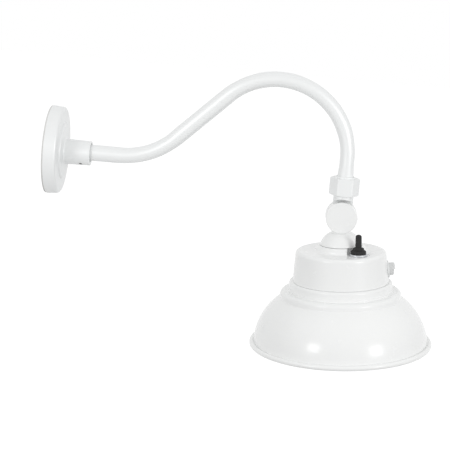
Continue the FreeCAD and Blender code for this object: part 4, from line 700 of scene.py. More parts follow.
def make_upper_knuckle():
    """Rear disc and neck: a disc turned about the pivot's axis, joined to a neck turned about the arm's."""
    s = sizes("knuckle")
    start = s.disc_radius / 2
    neck = new_piece("upper_knuckle_body", turned(rounded([
        (0, start, 0), (s.neck_radius, start, 0), (s.neck_radius, s.neck_top, 0.4),
        (TUBE_FIT, s.neck_top, 0.4), (TUBE_FIT, s.socket_floor, 0), (0, s.socket_floor, 0)]),
        SWIVEL, KNUCKLE_STEPS))
    combine(neck, [puck("neck_hollow", REAR, s.relief, s.disc_face, -CLEAR)], "DIFFERENCE")
    disc = new_piece("rear_disc", turned(disc_section(s, BOLT_FIT, s.recess), REAR, KNUCKLE_STEPS), loop=True)
    show(combine(neck, [disc], "UNION"), "swivel", "white_powder", ["upper_knuckle"])


def make_lower_knuckle():
    """Front disc, stem and foot: a disc turned about the pivot, joined to a bell turned about the head."""
    s = sizes("knuckle")
    where = head_place()
    stem = np.array([(0, s.disc_radius / 2)])
    above = rounded([(s.stem_radius, s.disc_radius / 2, 0), (s.stem_radius, s.foot_top, 1.0),
                     (s.foot_neck, s.foot_top, 0.25), (s.foot_neck + 0.3, s.foot_top + 0.3, 0)])
    dome = bow((s.foot_neck + 0.3, s.foot_top + 0.3), (s.foot_radius, s.foot_shoulder), s.foot_curve, 40)
    bottom = s.foot_bottom
    hollow, thread, post = bottom - 5.2, bottom - 10, 12.5
    below = rounded([(s.foot_radius, s.foot_shoulder, 0), (s.foot_radius, bottom, 0.3),
                     (s.foot_radius - 3.5, bottom, 0.3), (s.foot_radius - 4.5, hollow, 0.5),
                     (post, hollow, 0.5), (post, bottom, 0.2), (NIPPLE_FIT, bottom, 0.2),
                     (NIPPLE_FIT, thread, 0), (0, thread, 0)])
    bell = new_piece("lower_knuckle_body",
                     turned(np.vstack([stem, above, dome[1:-1], below]), where, KNUCKLE_STEPS))
    combine(bell, [puck("rear_space", REAR, s.disc_radius + 0.4, -s.disc_face, CLEAR)], "DIFFERENCE")
    combine(bell, [puck("disc_relief", FRONT, s.disc_radius + 1.1, s.disc_back - 1.6, CLEAR)], "DIFFERENCE")
    disc = new_piece("front_disc", turned(disc_section(s, 0, 0), FRONT, KNUCKLE_STEPS))
    combine(bell, [disc], "UNION")
    spot = within(where, place((s.mark_across, 0, s.mark_drop), (1, 0, 0), (0, -1, 0)))
    mark = drill("face_mark", spot, s.mark_radius, s.disc_back - 0.3, s.disc_back, 0.12)
    show(combine(bell, [mark], "DIFFERENCE"), "head", "white_powder", ["lower_knuckle"], finish="white_gloss")


def make_housing():
    """Driver housing: a cup turned about the head's axis, with the switch's and photocell's seats cut in."""
    s = sizes("head")
    t = sizes("switch")
    p = sizes("photocell")
    wall = s.housing_wall
    start = ((s.housing_radius + s.housing_foot) / 2, (s.housing_top + s.housing_bottom) / 2, 0)
    edge = s.housing_bottom + SEAL
    section = rounded([
        start, (s.housing_foot, edge, 0.3), (s.housing_foot - wall, edge, 0.3),
        (s.housing_radius - wall, s.housing_top + wall, 3.0), (20, s.housing_top + wall, 0.6),
        (19, s.boss_top + wall, 0.6), (NIPPLE_FIT, s.boss_top + wall, 0.2), (NIPPLE_FIT, s.boss_top, 0.2),
        (s.boss_radius, s.boss_top, 1.0), (s.boss_radius, s.boss_top + 1.3, 0.2),
        (s.boss_foot, s.housing_top - 3.9, 0.2), (s.boss_foot, s.housing_top, 3.6),
        (s.housing_radius, s.housing_top, s.housing_edge), start], 9)[:-1]
    housing = new_piece("housing_casting", turned(section, head_place(), 288), loop=True)
    seat = photocell_place()
    floor = switch_place()
    spot = new_piece("spot_face", turned(rounded([
        (0, 14, 0), (t.spot_radius, 14, 0), (t.spot_radius, 0, 0.4), (0, 0, 0)]), floor, 128))
    tools = [spot, drill("bushing_hole", floor, t.bushing, -6, 2, 0, 64),
             drill("photocell_seat", seat, p.flange_radius + 0.4, 0, 6, 0, 128),
             drill("photocell_hole", seat, p.barrel + 0.1, -8, 1, 0, 96)]
    show(combine(housing, tools, "DIFFERENCE"), "head", "white_powder", ["housing"], finish="white_gloss")


def make_shade():
    """Shade: two rings, a fillet, an arc and a rolled bead, turned about the head's axis, with a wall."""
    s = sizes("head")
    wall, hole = s.shade_wall, 20
    across = s.rim_radius - s.shoulder_radius
    drop = s.dome_end - s.dome_start
    chord = math.hypot(across, drop)
    lean = math.sqrt(s.dome_radius ** 2 - chord ** 2 / 4) / chord
    rim = np.array([s.rim_radius, s.dome_end])
    centre = np.array([s.shoulder_radius + across / 2 - drop * lean, s.dome_start + drop / 2 + across * lean])
    reach = s.dome_radius + s.dome_fillet
    fillet_radius = s.shoulder_radius + s.dome_fillet
    fillet = np.array([fillet_radius, centre[1] - math.sqrt(reach ** 2 - (fillet_radius - centre[0]) ** 2)])
    meet = centre + (fillet - centre) * s.dome_radius / reach
    fillet_end = math.degrees(math.atan2(meet[1] - fillet[1], meet[0] - fillet[0])) % 360
    bead = rim + s.bead * math.sqrt(0.5)
    inner = s.dome_radius - wall
    inner_rim = centre + (rim - centre) * inner / s.dome_radius
    inner_radius = s.shoulder_radius - wall
    inner_start = (inner_radius, centre[1] - math.sqrt(inner ** 2 - (inner_radius - centre[0]) ** 2))
    outside = rounded([
        (hole, s.shade_top, 0), (s.ring_radius, s.shade_top, s.ring_edge), (s.ring_radius, s.ring_step, 0.25),
        (s.step_radius, s.ring_step, 0.4), (s.step_radius, s.shoulder_top, 0.25),
        (s.shoulder_radius, s.shoulder_top, s.shoulder_edge), (s.shoulder_radius, fillet[1], 0)], 10)
    inside = rounded([
        (*inner_start, 0), (inner_radius, s.shoulder_top + wall, 2.0),
        (s.ring_radius - wall, s.shoulder_top + wall, 0.6), (s.ring_radius - wall, s.shade_top + wall, 1.5),
        (hole, s.shade_top + wall, 0)])
    section = np.vstack([outside, arc(fillet, s.dome_fillet, 180, fillet_end, 10)[1:],
                         bow(meet, rim, s.dome_radius, 64)[1:], arc(bead, s.bead, -135, 135, 30)[1:],
                         bow(inner_rim, inner_start, -inner, 64), inside[1:]])
    shade = new_piece("shade_spinning", turned(section, head_place(), 320), loop=True)
    show(shade, "head", "white_powder", ["shade"], finish="white_gloss")


def make_lens():
    """Lens and the ring that holds it: a shallow dome of constant wall and an angle ring, both turned."""
    s = sizes("head")
    where = head_place()
    under = s.lens_top + s.lens_wall
    curve = (s.lens_dome ** 2 + s.lens_bulge ** 2) / (2 * s.lens_bulge)
    lens = np.vstack([
        bow((0, s.lens_top + s.lens_bulge), (s.lens_dome, s.lens_top), -curve, 32),
        rounded([(s.lens_dome, s.lens_top, 0), (s.lens_radius, s.lens_top, 0.4), (s.lens_radius, under, 0.4),
                 (s.lens_dome, under, 0)])[1:],
        bow((s.lens_dome, under), (0, under + s.lens_bulge), curve, 32)[1:]])
    show(new_piece("lens_dome", turned(lens, where, 224)), "head", "frosted_lens", ["lens"])
    start = (s.lens_ring, (s.lens_top + s.lens_ring_under) / 2, 0)
    seat, top, around = under + 0.05, s.lens_top - 1, s.lens_radius + 0.4
    ring = rounded([start, (s.lens_ring, s.lens_ring_under, 0.5), (s.lens_ring_inner, s.lens_ring_under, 0.5),
                    (s.lens_ring_inner, seat, 0.2), (around, seat, 0.1), (around, top, 0.1),
                    (s.lens_ring, top, 0.8), start])[:-1]
    holder = new_piece("lens_holder", turned(ring, where, 256), loop=True)
    show(holder, "head", "white_powder", ["lens_ring"])


def make_boot():
    """Switch boot: base, pleated tier and finger as one skin, turned about the lever, with its hollow.

    r of the tier is widened by a small cosine wave round the axis, so that it has eight soft pleats.
    """
    s = sizes("switch")
    inner, tip = s.finger_radius - s.wall, s.finger_top - s.wall
    hollow = rounded([
        (0, tip, 0), (inner, tip, s.tip_rounding - s.wall), (inner, s.tier_top + 0.6, 0.8),
        (s.bushing, s.tier_top - 1.6, 0.6), (s.bushing, s.washer, 0)])
    outside = rounded([
        (s.bushing, s.washer, 0), (s.base_radius, s.washer, 0.5), (s.base_radius, s.base_top, 1.3),
        (s.tier_radius - 0.5, s.base_top, 0.6), (s.tier_radius, s.base_top + 1.2, 0.6),
        (s.tier_radius, s.tier_top, 1.1), (s.finger_radius + 0.25, s.tier_top, 0.7),
        (s.finger_radius, s.finger_top, s.tip_rounding), (0, s.finger_top, 0)], 12)
    section = np.vstack([hollow, outside[1:]])
    step = (s.finger_top - s.tier_top) / 14
    rows = np.arange(len(section))
    pleated = (rows >= len(hollow)) & (section[:, 1] > s.base_top) & (section[:, 1] < s.tier_top + step)
    depth = 0.045
    wave = np.where(pleated, np.clip(section[:, 0] - s.finger_radius - 0.4, 0, 1) * depth, 0)

    def form(points, turn):
        """The section's radii with the pleats' wave."""
        return points[:, :1] * (1 + wave[:, None] * np.cos(8 * turn))

    boot = new_piece("switch_boot", turned(section, switch_place(), 128, form))
    level, free = (tuple(within(switch_place(), place((0, 0, height), (1, 0, 0), (0, 0, 1)))[0] * MM)
                   for height in (s.base_top, s.tier_top + 2))
    show(boot, ("head", "lever", level, free), "boot_rubber", ["boot_skirt", "boot_finger"], limit=50)


def make_photocell():
    """Photocell: turned flange and barrel, and a window of two halves of different heights with a slot."""
    s = sizes("photocell")
    where = photocell_place()
    flange_top = s.gasket + s.flange
    seat = s.gasket / 4
    body = rounded([(0, -s.barrel_length, 0), (s.barrel, -s.barrel_length, 0.6), (s.barrel, seat, 0),
                    (s.flange_radius, seat, 0.2), (s.flange_radius, flange_top, 0.6), (0, flange_top, 0)])
    flange = new_piece("photocell_flange", turned(body, where, 160))
    show(flange, "head", "photocell_case", ["photocell_body"])
    wide = s.lens_radius + 1
    halves = []
    for name, height, side in (("upper_window", s.upper, -1), ("lower_window", s.lower, 1)):
        half = new_piece(name, turned(rounded([
            (0, flange_top, 0), (s.lens_radius, flange_top, 0.1),
            (s.lens_radius, flange_top + height, s.rounding), (0, flange_top + height, 0)], 10), where, 160))
        edges = sorted((side * s.slot / 2, side * wide))
        halves.append(combine(half, [block(name + "_side", where, (edges[0], -wide, flange_top - 1),
                                           (edges[1], wide, flange_top + 12))], "INTERSECT"))
    core, floor = s.lens_radius - 0.02, flange_top + s.slot_floor
    base = new_piece("photocell_window_body", turned(rounded([
        (0, flange_top, 0), (core, flange_top, 0), (core, floor, 0), (0, floor, 0)]), where, 160))
    show(combine(base, halves, "UNION"), "head", "photocell_window", ["photocell_lens"])


def ring_piece(node, body, slot, where, inner, outer, start, thickness, edge=0.2):
    """A flat ring with rounded edges, turned about a frame's third axis."""
    end = start + thickness
    middle = (outer, start + thickness / 2, 0)
    section = rounded([middle, (outer, end, edge), (inner, end, edge), (inner, start, edge),
                       (outer, start, edge), middle], 4)[:-1]
    show(new_piece(node + "_ring", turned(section, where, 160), loop=True), body, slot, [node])


def screw_piece(node, body, slot, where, shank, head, height, key, depth, length_under):
    """A screw with a hexagon socket: r of the socket's rows follows a hexagon, and a circle elsewhere.

    The head stands along the third axis from 0, and a screw without a head has its end there.
    """
    mouth = key / 2 / math.cos(math.pi / 6) + 0.25
    flat = key / 2
    outside = [(0, -length_under, 0), (shank, -length_under, min(0.5, shank / 4))]
    if head > shank:
        outside += [(shank, 0, 0.1), (head, 0, 0.2)]
    edge = min(0.9, (head - mouth) * 0.6) if head > shank else 0.35
    lip = (flat, height - 0.35, 0)
    outside = rounded(outside + [(max(head, shank), height, edge), (mouth, height, 0.1), lip])
    socket = rounded([lip, (flat, height - depth, 0), (0, height - depth - 0.4, 0)])
    section = np.vstack([outside, socket[1:]])
    hexed = np.arange(len(section)) >= len(outside) - 1

    def form(points, turn):
        """The section's radii, and a hexagon in the socket."""
        radius = np.repeat(points[:, :1], len(turn), axis=1)
        radius[hexed] = radius[hexed] * hexagon(turn)[None]
        return radius

    show(new_piece(node + "_turned", turned(section, where, 96, form)), body, slot, [node])


def make_hardware():
    """Washers, gaskets and screws that show, as turned rings and screws."""
    c = sizes("canopy")
    k = sizes("knuckle")
    h = sizes("head")
    t = sizes("switch")
    p = sizes("photocell")
    head = head_place()
    ring_piece("wall_gasket", "arm_assembly", "foam_gasket", WALL, c.back_radius - 4.1, c.back_radius - 0.5,
               0, c.gasket, 0.5)
    ring_piece("friction_washer", "head", "nylon_washer", REAR, 14.6, 19.6, -0.3, 0.6, 0.15)
    floor = k.disc_back - k.recess
    seam = h.housing_bottom + SEAL
    ring_piece("spring_washer", "head", "zinc_steel", REAR, 4.3, 6.5, floor + 0.05, 1.0)
    ring_piece("housing_gasket", "head", "seal_rubber", head, h.housing_foot - 2.8, h.housing_foot - 1.7,
               seam, 0.18, 0.05)
    ring_piece("lens_gasket", "head", "seal_rubber", head, h.lens_radius - 4, h.lens_radius - 0.1,
               h.lens_top - 1, 1.0)
    ring_piece("switch_washer", "head", "zinc_steel", switch_place(), t.bushing, t.washer_radius, 0, t.washer,
               0.5)
    ring_piece("photocell_gasket", "head", "seal_rubber", photocell_place(), p.barrel + 0.1,
               p.flange_radius - 1.0, 0, p.gasket / 4, 0.05)
    bolt = place(PIVOT + (0, floor + 1.1, 0), (0, 0, 1), (0, 1, 0))
    screw_piece("pivot_bolt", "head", "black_steel", bolt, 4.0, 6.5, 4.0, 5.0, 2.5, floor + 10.95)
    down, aside = math.cos(c.group.set_angle), math.sin(c.group.set_angle)
    set_length = 6.2
    tip = TUBE_FIT + set_length
    screw_piece("arm_set_screw", "arm_assembly", "black_steel",
                place((c.set_screw, -tip * aside, -tip * down), (1, 0, 0), (0, -aside, -down)),
                2.5, 0, 0, 2.5, 2.2, set_length)
    for name, way in (("canopy_screw_top", 1), ("canopy_screw_bottom", -1)):
        screw_piece(name, "arm_assembly", "black_steel",
                    place((c.rim_screw, 0, way * 59.7), (1, 0, 0), (0, 0, way)), 2.0, 0, 0, 2.0, 1.8, 9.0)
    for number in range(4):
        turn = number * math.pi / 2
        spot = place((h.lens_screw_circle * math.cos(turn), h.lens_screw_circle * math.sin(turn),
                      h.lens_ring_under), (1, 0, 0), (0, 0, 1))
        screw_piece(f"lens_screw_{number + 1}", "head", "zinc_screw", within(head, spot), 1.5, 2.8, 1.8, 2.0,
                    1.0, 7.45)
    slots = {part["node"]: part["material_slot"] for part in frame["record"]["subparts"]}
    bodies = {name: body for body, names in frame["record"]["behaviour"]["bodies"].items() for name in names}
    for name in ("wall_strap", "ground_screw", "ferrule", "switch_lever", "switch_body", "led_board",
                 "board_screw_1", "board_screw_2", "board_screw_3", "shade_screw_1", "shade_screw_2",
                 "shade_screw_3", "shade_screw_4"):
        smoothed(name, bodies[name], slots[name])
    for name, node in frame["nodes"].items():
        node.data.materials.clear()
        node.data.materials.append(bpy.data.materials[slots[name]])


# ---- node tools ----

class Web:
    """A node tree, filled with nodes whose inputs are given as values or as other nodes' outputs."""

    def __init__(self, tree):
        self.tree = tree

    def add(self, kind, inputs, **settings):
        """A new node with those inputs and settings."""
        node = self.tree.nodes.new(kind)
        for name, value in settings.items():
            setattr(node, name, value)
        self.feed(node, inputs)
        return node

    def feed(self, node, inputs):
        """Give a node's inputs their values or links."""
        for name, value in inputs.items():
            if isinstance(value, bpy.types.NodeSocket):
                self.tree.links.new(value, node.inputs[name])
            else:
                node.inputs[name].default_value = value

    def math(self, operation, first, second):
        """The result of a sum with two numbers."""
        return self.add("ShaderNodeMath", {0: first, 1: second}, operation=operation).outputs[0]

    def spread(self, value, low, high, to_low, to_high):
        """The value's range from low to high mapped smoothly to another range."""
        return self.add("ShaderNodeMapRange", {"Value": value, "From Min": low, "From Max": high,
                                               "To Min": to_low, "To Max": to_high},
                        interpolation_type="SMOOTHSTEP").outputs["Result"]

    def mix(self, share_of_second, first, second, blend="MIX"):
        """Two colours mixed."""
        node = self.add("ShaderNodeMix", {}, data_type="RGBA", blend_type=blend)
        self.feed(node, {0: share_of_second, 6: first, 7: second})
        return node.outputs[2]

    def noise(self, vector, scale, detail=2.0, rough=0.5):
        """Cloudy noise from 0 to 1."""
        return self.add("ShaderNodeTexNoise", {"Vector": vector, "Scale": scale, "Detail": detail,
                                               "Roughness": rough}).outputs["Fac"]

    def place(self):
        """The place on the object, in metres."""
        return self.add("ShaderNodeTexCoord", {}).outputs["Object"]

    def bump(self, height, distance):
        """The normal of a surface with that height, its full height given in metres."""
        return self.add("ShaderNodeBump", {"Height": height, "Distance": distance,
                                           "Strength": 1.0}).outputs["Normal"]


def rgba(value, factor=1.0):
    """A colour times a factor, with full alpha."""
    return (value[0] * factor, value[1] * factor, value[2] * factor, 1.0)


def new_group(name, inputs, outputs):
    """An empty shader node group with those sockets, its web, and its input and output nodes."""
    group = bpy.data.node_groups.new(name, "ShaderNodeTree")
    for label, kind, value in inputs:
        group.interface.new_socket(label, in_out="INPUT", socket_type=kind).default_value = value
    for label, kind in outputs:
        group.interface.new_socket(label, in_out="OUTPUT", socket_type=kind)
    web = Web(group)
    return web, web.add("NodeGroupInput", {}), web.add("NodeGroupOutput", {})


# Kinds of a group's sockets.
NUMBER = "NodeSocketFloat"
COLOUR = "NodeSocketColor"
VECTOR = "NodeSocketVector"


def group_powder_skin():
    """Powder coat: orange peel, slow drifts of tone and gloss, and a few specks of dust."""
    web, given, made = new_group(
        "powder_skin",
        [("Colour", COLOUR, (0.8, 0.8, 0.8, 1)), ("Peel Scale", NUMBER, 800.0), ("Roughness", NUMBER, 0.25)],
        [("Colour", COLOUR), ("Roughness", NUMBER), ("Height", NUMBER)])
    spot = web.place()
    drift = web.noise(spot, 13.0, 3.0)
    specks = web.noise(spot, 340.0, 3.0, 0.7)
    shade = web.math("MULTIPLY", web.spread(drift, 0.3, 0.7, 0.982, 1.0),
                     web.spread(specks, 0.72, 0.8, 1.0, 0.93))
    grey = web.add("ShaderNodeCombineColor", {"Red": shade, "Green": shade, "Blue": shade}).outputs[0]
    gloss = web.noise(spot, 46.0, 4.0, 0.6)
    rough = web.math("ADD", given.outputs["Roughness"], web.spread(gloss, 0.3, 0.7, -0.035, 0.035))
    web.feed(made, {"Colour": web.mix(1.0, given.outputs["Colour"], grey, "MULTIPLY"), "Roughness": rough,
                    "Height": web.noise(spot, given.outputs["Peel Scale"], 1.5, 0.35)})


def group_grain():
    """Fine moulded or blasted grain: a height, and a mask of its high spots."""
    web, given, made = new_group("grain", [("Scale", NUMBER, 1500.0), ("Threshold", NUMBER, 0.6)],
                                 [("Height", NUMBER), ("Mask", NUMBER)])
    fine = web.noise(web.place(), given.outputs["Scale"], 3.0, 0.6)
    above = web.math("SUBTRACT", fine, given.outputs["Threshold"])
    web.feed(made, {"Height": fine, "Mask": web.spread(above, 0.0, 0.12, 0.0, 1.0)})


def group_marks():
    """Turning marks: rings round an axis given by a vector, with a little wander."""
    web, given, made = new_group("turning_marks", [("Vector", VECTOR, (0, 0, 0)), ("Scale", NUMBER, 900.0)],
                                 [("Height", NUMBER)])
    rings = web.add("ShaderNodeTexWave", {
        "Vector": given.outputs["Vector"], "Scale": given.outputs["Scale"], "Distortion": 0.8, "Detail": 2.0,
        "Detail Scale": 1.5}, wave_type="RINGS", rings_direction="Z")
    web.feed(made, {"Height": rings.outputs["Fac"]})


def group_handling():
    """Handling: patches of dulled surface and sparse short scratches, as a mask."""
    web, given, made = new_group("handling", [("Scale", NUMBER, 60.0), ("Amount", NUMBER, 1.0)],
                                 [("Mask", NUMBER)])
    spot = web.place()
    patches = web.spread(web.noise(spot, given.outputs["Scale"], 4.0, 0.62), 0.45, 0.72, 0.0, 1.0)
    long = web.add("ShaderNodeMapping", {"Vector": spot, "Rotation": (0.5, 0.3, 0.7),
                                         "Scale": (1.0, 9.0, 1.0)}).outputs[0]
    fine = web.noise(long, web.math("MULTIPLY", given.outputs["Scale"], 8.0), 2.0)
    lines = web.spread(fine, 0.7, 0.78, 0, 1)
    both = web.math("MAXIMUM", patches, web.math("MULTIPLY", lines, 0.7))
    web.feed(made, {"Mask": web.math("MULTIPLY", both, given.outputs["Amount"])})


def new_material(name, **constants):
    """A material with a Principled shader whose constant sockets are set directly.

    The frame already holds a plain material of each slot's name, so a new one of that name gets .001 added.
    """
    material = bpy.data.materials.new(name)
    material.use_nodes = True
    web = Web(material.node_tree)
    shader = material.node_tree.nodes["Principled BSDF"]
    web.feed(shader, {key.replace("_", " "): value for key, value in constants.items()})
    return web, shader


def use_group(web, name, **inputs):
    """A node group placed with its own values, as its outputs."""
    node = web.add("ShaderNodeGroup", {}, node_tree=bpy.data.node_groups[name])
    web.feed(node, {key.replace("_", " "): value for key, value in inputs.items()})
    return node.outputs


def coated(name, base, roughness, peel, depth, coat, level):
    """A sprayed and baked coat with orange peel."""
    web, shader = new_material(name, Coat_Weight=coat, Coat_Roughness=0.12, Specular_IOR_Level=level)
    skin_of = use_group(web, "powder_skin", Colour=rgba(base), Peel_Scale=1 / peel, Roughness=roughness)
    web.feed(shader, {"Base Color": skin_of["Colour"], "Roughness": skin_of["Roughness"],
                      "Normal": web.bump(skin_of["Height"], depth)})


def plated(name, base, stain, roughness, grain, depth=4e-6):
    """Bare or plated metal: a fine grain, and stains and dull patches from handling."""
    web, shader = new_material(name, Metallic=1.0)
    fine = use_group(web, "grain", Scale=grain, Threshold=0.58)
    worn = use_group(web, "handling", Scale=85.0, Amount=1.0)["Mask"]
    web.feed(shader, {"Base Color": web.mix(web.math("MULTIPLY", worn, 0.6), rgba(base), rgba(stain)),
                      "Roughness": web.math("ADD", web.spread(worn, 0, 1, roughness, roughness + 0.16),
                                            web.math("MULTIPLY", fine["Height"], 0.08)),
                      "Normal": web.bump(fine["Height"], depth)})


def moulded(name, base, dust, roughness, grain, depth, **constants):
    """Moulded rubber or plastic: fine grain, paler dust in its hollows and slightly uneven gloss."""
    web, shader = new_material(name, **constants)
    fine = use_group(web, "grain", Scale=grain, Threshold=0.6)
    worn = use_group(web, "handling", Scale=48.0, Amount=1.0)["Mask"]
    dusty = web.math("MULTIPLY", web.math("ADD", worn, fine["Mask"]), 0.35)
    web.feed(shader, {"Base Color": web.mix(dusty, rgba(base), rgba(dust)),
                      "Roughness": web.spread(worn, 0, 1, roughness, roughness + 0.1),
                      "Normal": web.bump(fine["Height"], depth)})


def make_brass(finish):
    """Brass with turning marks round the swivel's axis, and dulled patches."""
    web, shader = new_material("brass_ferrule", Metallic=1.0)
    spot = web.add("ShaderNodeMapping", {"Vector": web.place(),
                                         "Location": tuple(-PIVOT * MM)}).outputs[0]
    rings = use_group(web, "turning_marks", Vector=spot, Scale=900.0)["Height"]
    worn = use_group(web, "handling", Scale=70.0, Amount=1.0)["Mask"]
    web.feed(shader, {"Base Color": web.mix(worn, rgba(finish.brass), rgba(finish.brass, 0.6)),
                      "Roughness": web.spread(worn, 0, 1, 0.22, 0.42), "Normal": web.bump(rings, 6e-6)})


def make_foam(finish):
    """Foam with open cells, with painted shade inside them."""
    web, shader = new_material("foam_gasket")
    cells = web.add("ShaderNodeTexVoronoi", {"Vector": web.place(), "Scale": 1100.0}).outputs["Distance"]
    cell_height_and_painted_shade = web.spread(cells, 0.15, 0.5, 0.0, 1.0)
    rough = use_group(web, "grain", Scale=500.0, Threshold=0.6)["Height"]
    # Painted shade: the colour is darker in the cells' hollows, where the bump is lowest.
    web.feed(shader, {"Base Color": web.mix(cell_height_and_painted_shade, rgba(finish.foam, 0.72), rgba(finish.foam)),
                      "Roughness": web.spread(rough, 0.3, 0.7, 0.85, 0.97),
                      "Normal": web.bump(cell_height_and_painted_shade, 9e-5)})


def head_height(web):
    """Distance below the pivot along the head's axis, in metres, from Object coordinates."""
    where = head_place()
    moved = web.add("ShaderNodeVectorMath", {0: web.place(), 1: tuple(PIVOT * MM)}, operation="SUBTRACT")
    axis = tuple(float(v) for v in where[1][:, 2])
    return web.add("ShaderNodeVectorMath", {0: moved.outputs[0], 1: axis}, operation="DOT_PRODUCT").outputs[1]


# Below the pivot, in metres: where the board's face gives way to its chips, and the switch's bushing to its
# body.
CHIPS = (0.0952, 0.0954)
BUSHING = (0.0532, 0.0534)


def make_board_finish():
    """White solder mask, with phosphor-yellow chips below the board's face."""
    web, shader = new_material("led_board", Specular_IOR_Level=0.4)
    fine = use_group(web, "grain", Scale=900.0, Threshold=0.6)
    chip = web.spread(head_height(web), *CHIPS, 0.0, 1.0)
    mask = web.mix(web.math("MULTIPLY", fine["Mask"], 0.2), (0.87, 0.87, 0.85, 1), (0.62, 0.62, 0.6, 1))
    web.feed(shader, {"Base Color": web.mix(chip, mask, (0.86, 0.62, 0.12, 1)),
                      "Roughness": web.spread(chip, 0, 1, 0.34, 0.5),
                      "Normal": web.bump(fine["Height"], 8e-6)})


def make_switch_finish(finish):
    """Black phenolic body, with a plated bushing above the housing's wall."""
    web, shader = new_material("switch_case")
    fine = use_group(web, "grain", Scale=800.0, Threshold=0.6)
    metal = web.spread(head_height(web), *BUSHING, 1.0, 0.0)
    body = web.mix(fine["Mask"], (0.03, 0.028, 0.026, 1), (0.07, 0.065, 0.06, 1))
    web.feed(shader, {"Base Color": web.mix(metal, body, rgba(finish.zinc)), "Metallic": metal,
                      "Roughness": web.spread(metal, 0, 1, 0.5, 0.32),
                      "Normal": web.bump(fine["Height"], 1.2e-5)})


def make_window(finish):
    """Cloudy clear plastic whose colour is painted nearly black where it is seen at a slant: painted shade for a
    refracting window's dark edges.
    """
    web, shader = new_material("photocell_window", IOR=1.49, Transmission_Weight=0.7)
    fine = use_group(web, "grain", Scale=1200.0, Threshold=0.6)
    slant = web.add("ShaderNodeLayerWeight", {"Blend": 0.45}).outputs["Facing"]
    painted_edge_shade = web.spread(slant, 0.3, 0.62, 0.0, 1.0)
    # Painted shade: the window's colour goes nearly black towards its slanted edges.
    web.feed(shader, {"Base Color": web.mix(painted_edge_shade, rgba(finish.window), rgba(finish.window, 0.1)),
                      "Roughness": web.spread(fine["Height"], 0.3, 0.7, 0.14, 0.24),
                      "Normal": web.bump(fine["Height"], 5e-6)})


def make_frosted(finish):
    """Frosted lens with small moulded pyramids on its faces."""
    web, shader = new_material("frosted_lens", IOR=1.49, Transmission_Weight=0.55)
    cells = web.add("ShaderNodeTexVoronoi", {"Vector": web.place(), "Scale": 520.0},
                    distance="MANHATTAN").outputs["Distance"]
    drift = use_group(web, "handling", Scale=25.0, Amount=1.0)["Mask"]
    web.feed(shader, {"Base Color": web.mix(web.math("MULTIPLY", drift, 0.5), rgba(finish.lens),
                                            rgba(finish.lens, 0.94)),
                      "Roughness": web.spread(drift, 0, 1, 0.42, 0.55),
                      "Normal": web.bump(cells, 6e-5)})


def make_materials():
    """The glossy white coat, and a procedural finish for each slot.

    show() and make_hardware() look up a slot's material by its name, which is the frame's plain one. So of
    all these, only white_gloss is seen.
    """
    finish = bpy.context.scene.sconce_finish
    for build in (group_powder_skin, group_grain, group_marks, group_handling):
        build()
    # Painted light: white_gloss, and photocell_case with it, take a lighter colour than white_powder, though both
    # coats are one white paint.
    coated("white_powder", finish.powder, finish.powder_roughness, finish.peel, 6e-6, 0.02, 0.12)
    coated("white_gloss", finish.gloss, finish.gloss_roughness, finish.peel, 4e-6, 0.12, 0.4)
    coated("photocell_case", finish.gloss, 0.3, 0.0009, 6e-6, 0.1, 0.25)
    plated("zinc_steel", finish.zinc, (0.50, 0.47, 0.40), 0.3, 1500.0)
    plated("zinc_screw", finish.zinc, (0.46, 0.45, 0.40), 0.26, 2200.0)
    plated("black_steel", finish.black_steel, (0.06, 0.055, 0.05), 0.42, 1800.0)
    plated("switch_bat", (0.72, 0.72, 0.73), (0.5, 0.5, 0.5), 0.12, 2500.0)
    plated("driver_case", (0.68, 0.69, 0.70), (0.45, 0.45, 0.45), 0.36, 900.0, 9e-6)
    moulded("ground_green", (0.03, 0.22, 0.07), (0.12, 0.26, 0.14), 0.35, 1500.0, 6e-6)
    moulded("nylon_washer", (0.78, 0.77, 0.72), (0.6, 0.59, 0.55), 0.45, 1500.0, 8e-6)
    moulded("seal_rubber", (0.06, 0.06, 0.06), (0.14, 0.135, 0.13), 0.6, 1300.0, 1.2e-5)
    moulded("boot_rubber", finish.rubber, (0.01, 0.01, 0.01), 0.2, 1700.0, 7e-6, Specular_IOR_Level=0.1)
    for build in (make_brass, make_foam, make_switch_finish, make_window, make_frosted):
        build(finish)
    make_board_finish()


# ---- studio ----

# The camera's place in metres, its turns in degrees, and its lens and sensor in millimetres.
EYE = (0.3145, -1.7218, 0.2722)
YAW, PITCH, ROLL = (math.radians(turn) for turn in (-2.13, 11.7, 4.75))
FOCAL, SENSOR = 101.44, 36.0
# What the softboxes face, in metres, and the directions that they stand in.
AIM = Vector((0.28, 0.0, -0.03))
LEFT = Vector((-0.575, -0.795, 0.21))
RIGHT = Vector((0.72, -0.665, 0.20))
WHITE = (1, 1, 1, 1)


def seen(web):
    """1 for rays that show the background: camera, glossy and transmission rays."""
    light = web.add("ShaderNodeLightPath", {}).outputs
    return web.math("MAXIMUM", web.math("MAXIMUM", light["Is Camera Ray"], light["Is Glossy Ray"]),
                    light["Is Transmission Ray"])


def camera_axes(yaw, pitch, roll):
    """Right, up and back axes of a camera turned by yaw and pitch, then rolled about its line of sight."""
    forward = Vector((math.sin(yaw) * math.cos(pitch), math.cos(yaw) * math.cos(pitch), -math.sin(pitch)))
    right = forward.cross(Vector((0, 0, 1))).normalized()
    up = right.cross(forward)
    turned_right = math.cos(roll) * right + math.sin(roll) * up
    turned_up = -math.sin(roll) * right + math.cos(roll) * up
    return Matrix((turned_right, turned_up, -forward)).transposed()


def make_camera(scene):
    """The camera, in front of the sconce, slightly above it and rolled."""
    data = bpy.data.cameras.new("camera")
    data.lens = FOCAL
    data.sensor_width = SENSOR
    camera = bpy.data.objects.new("camera", data)
    camera.matrix_world = Matrix.Translation(EYE) @ camera_axes(YAW, PITCH, ROLL).to_4x4()
    scene.collection.objects.link(camera)
    scene.camera = camera


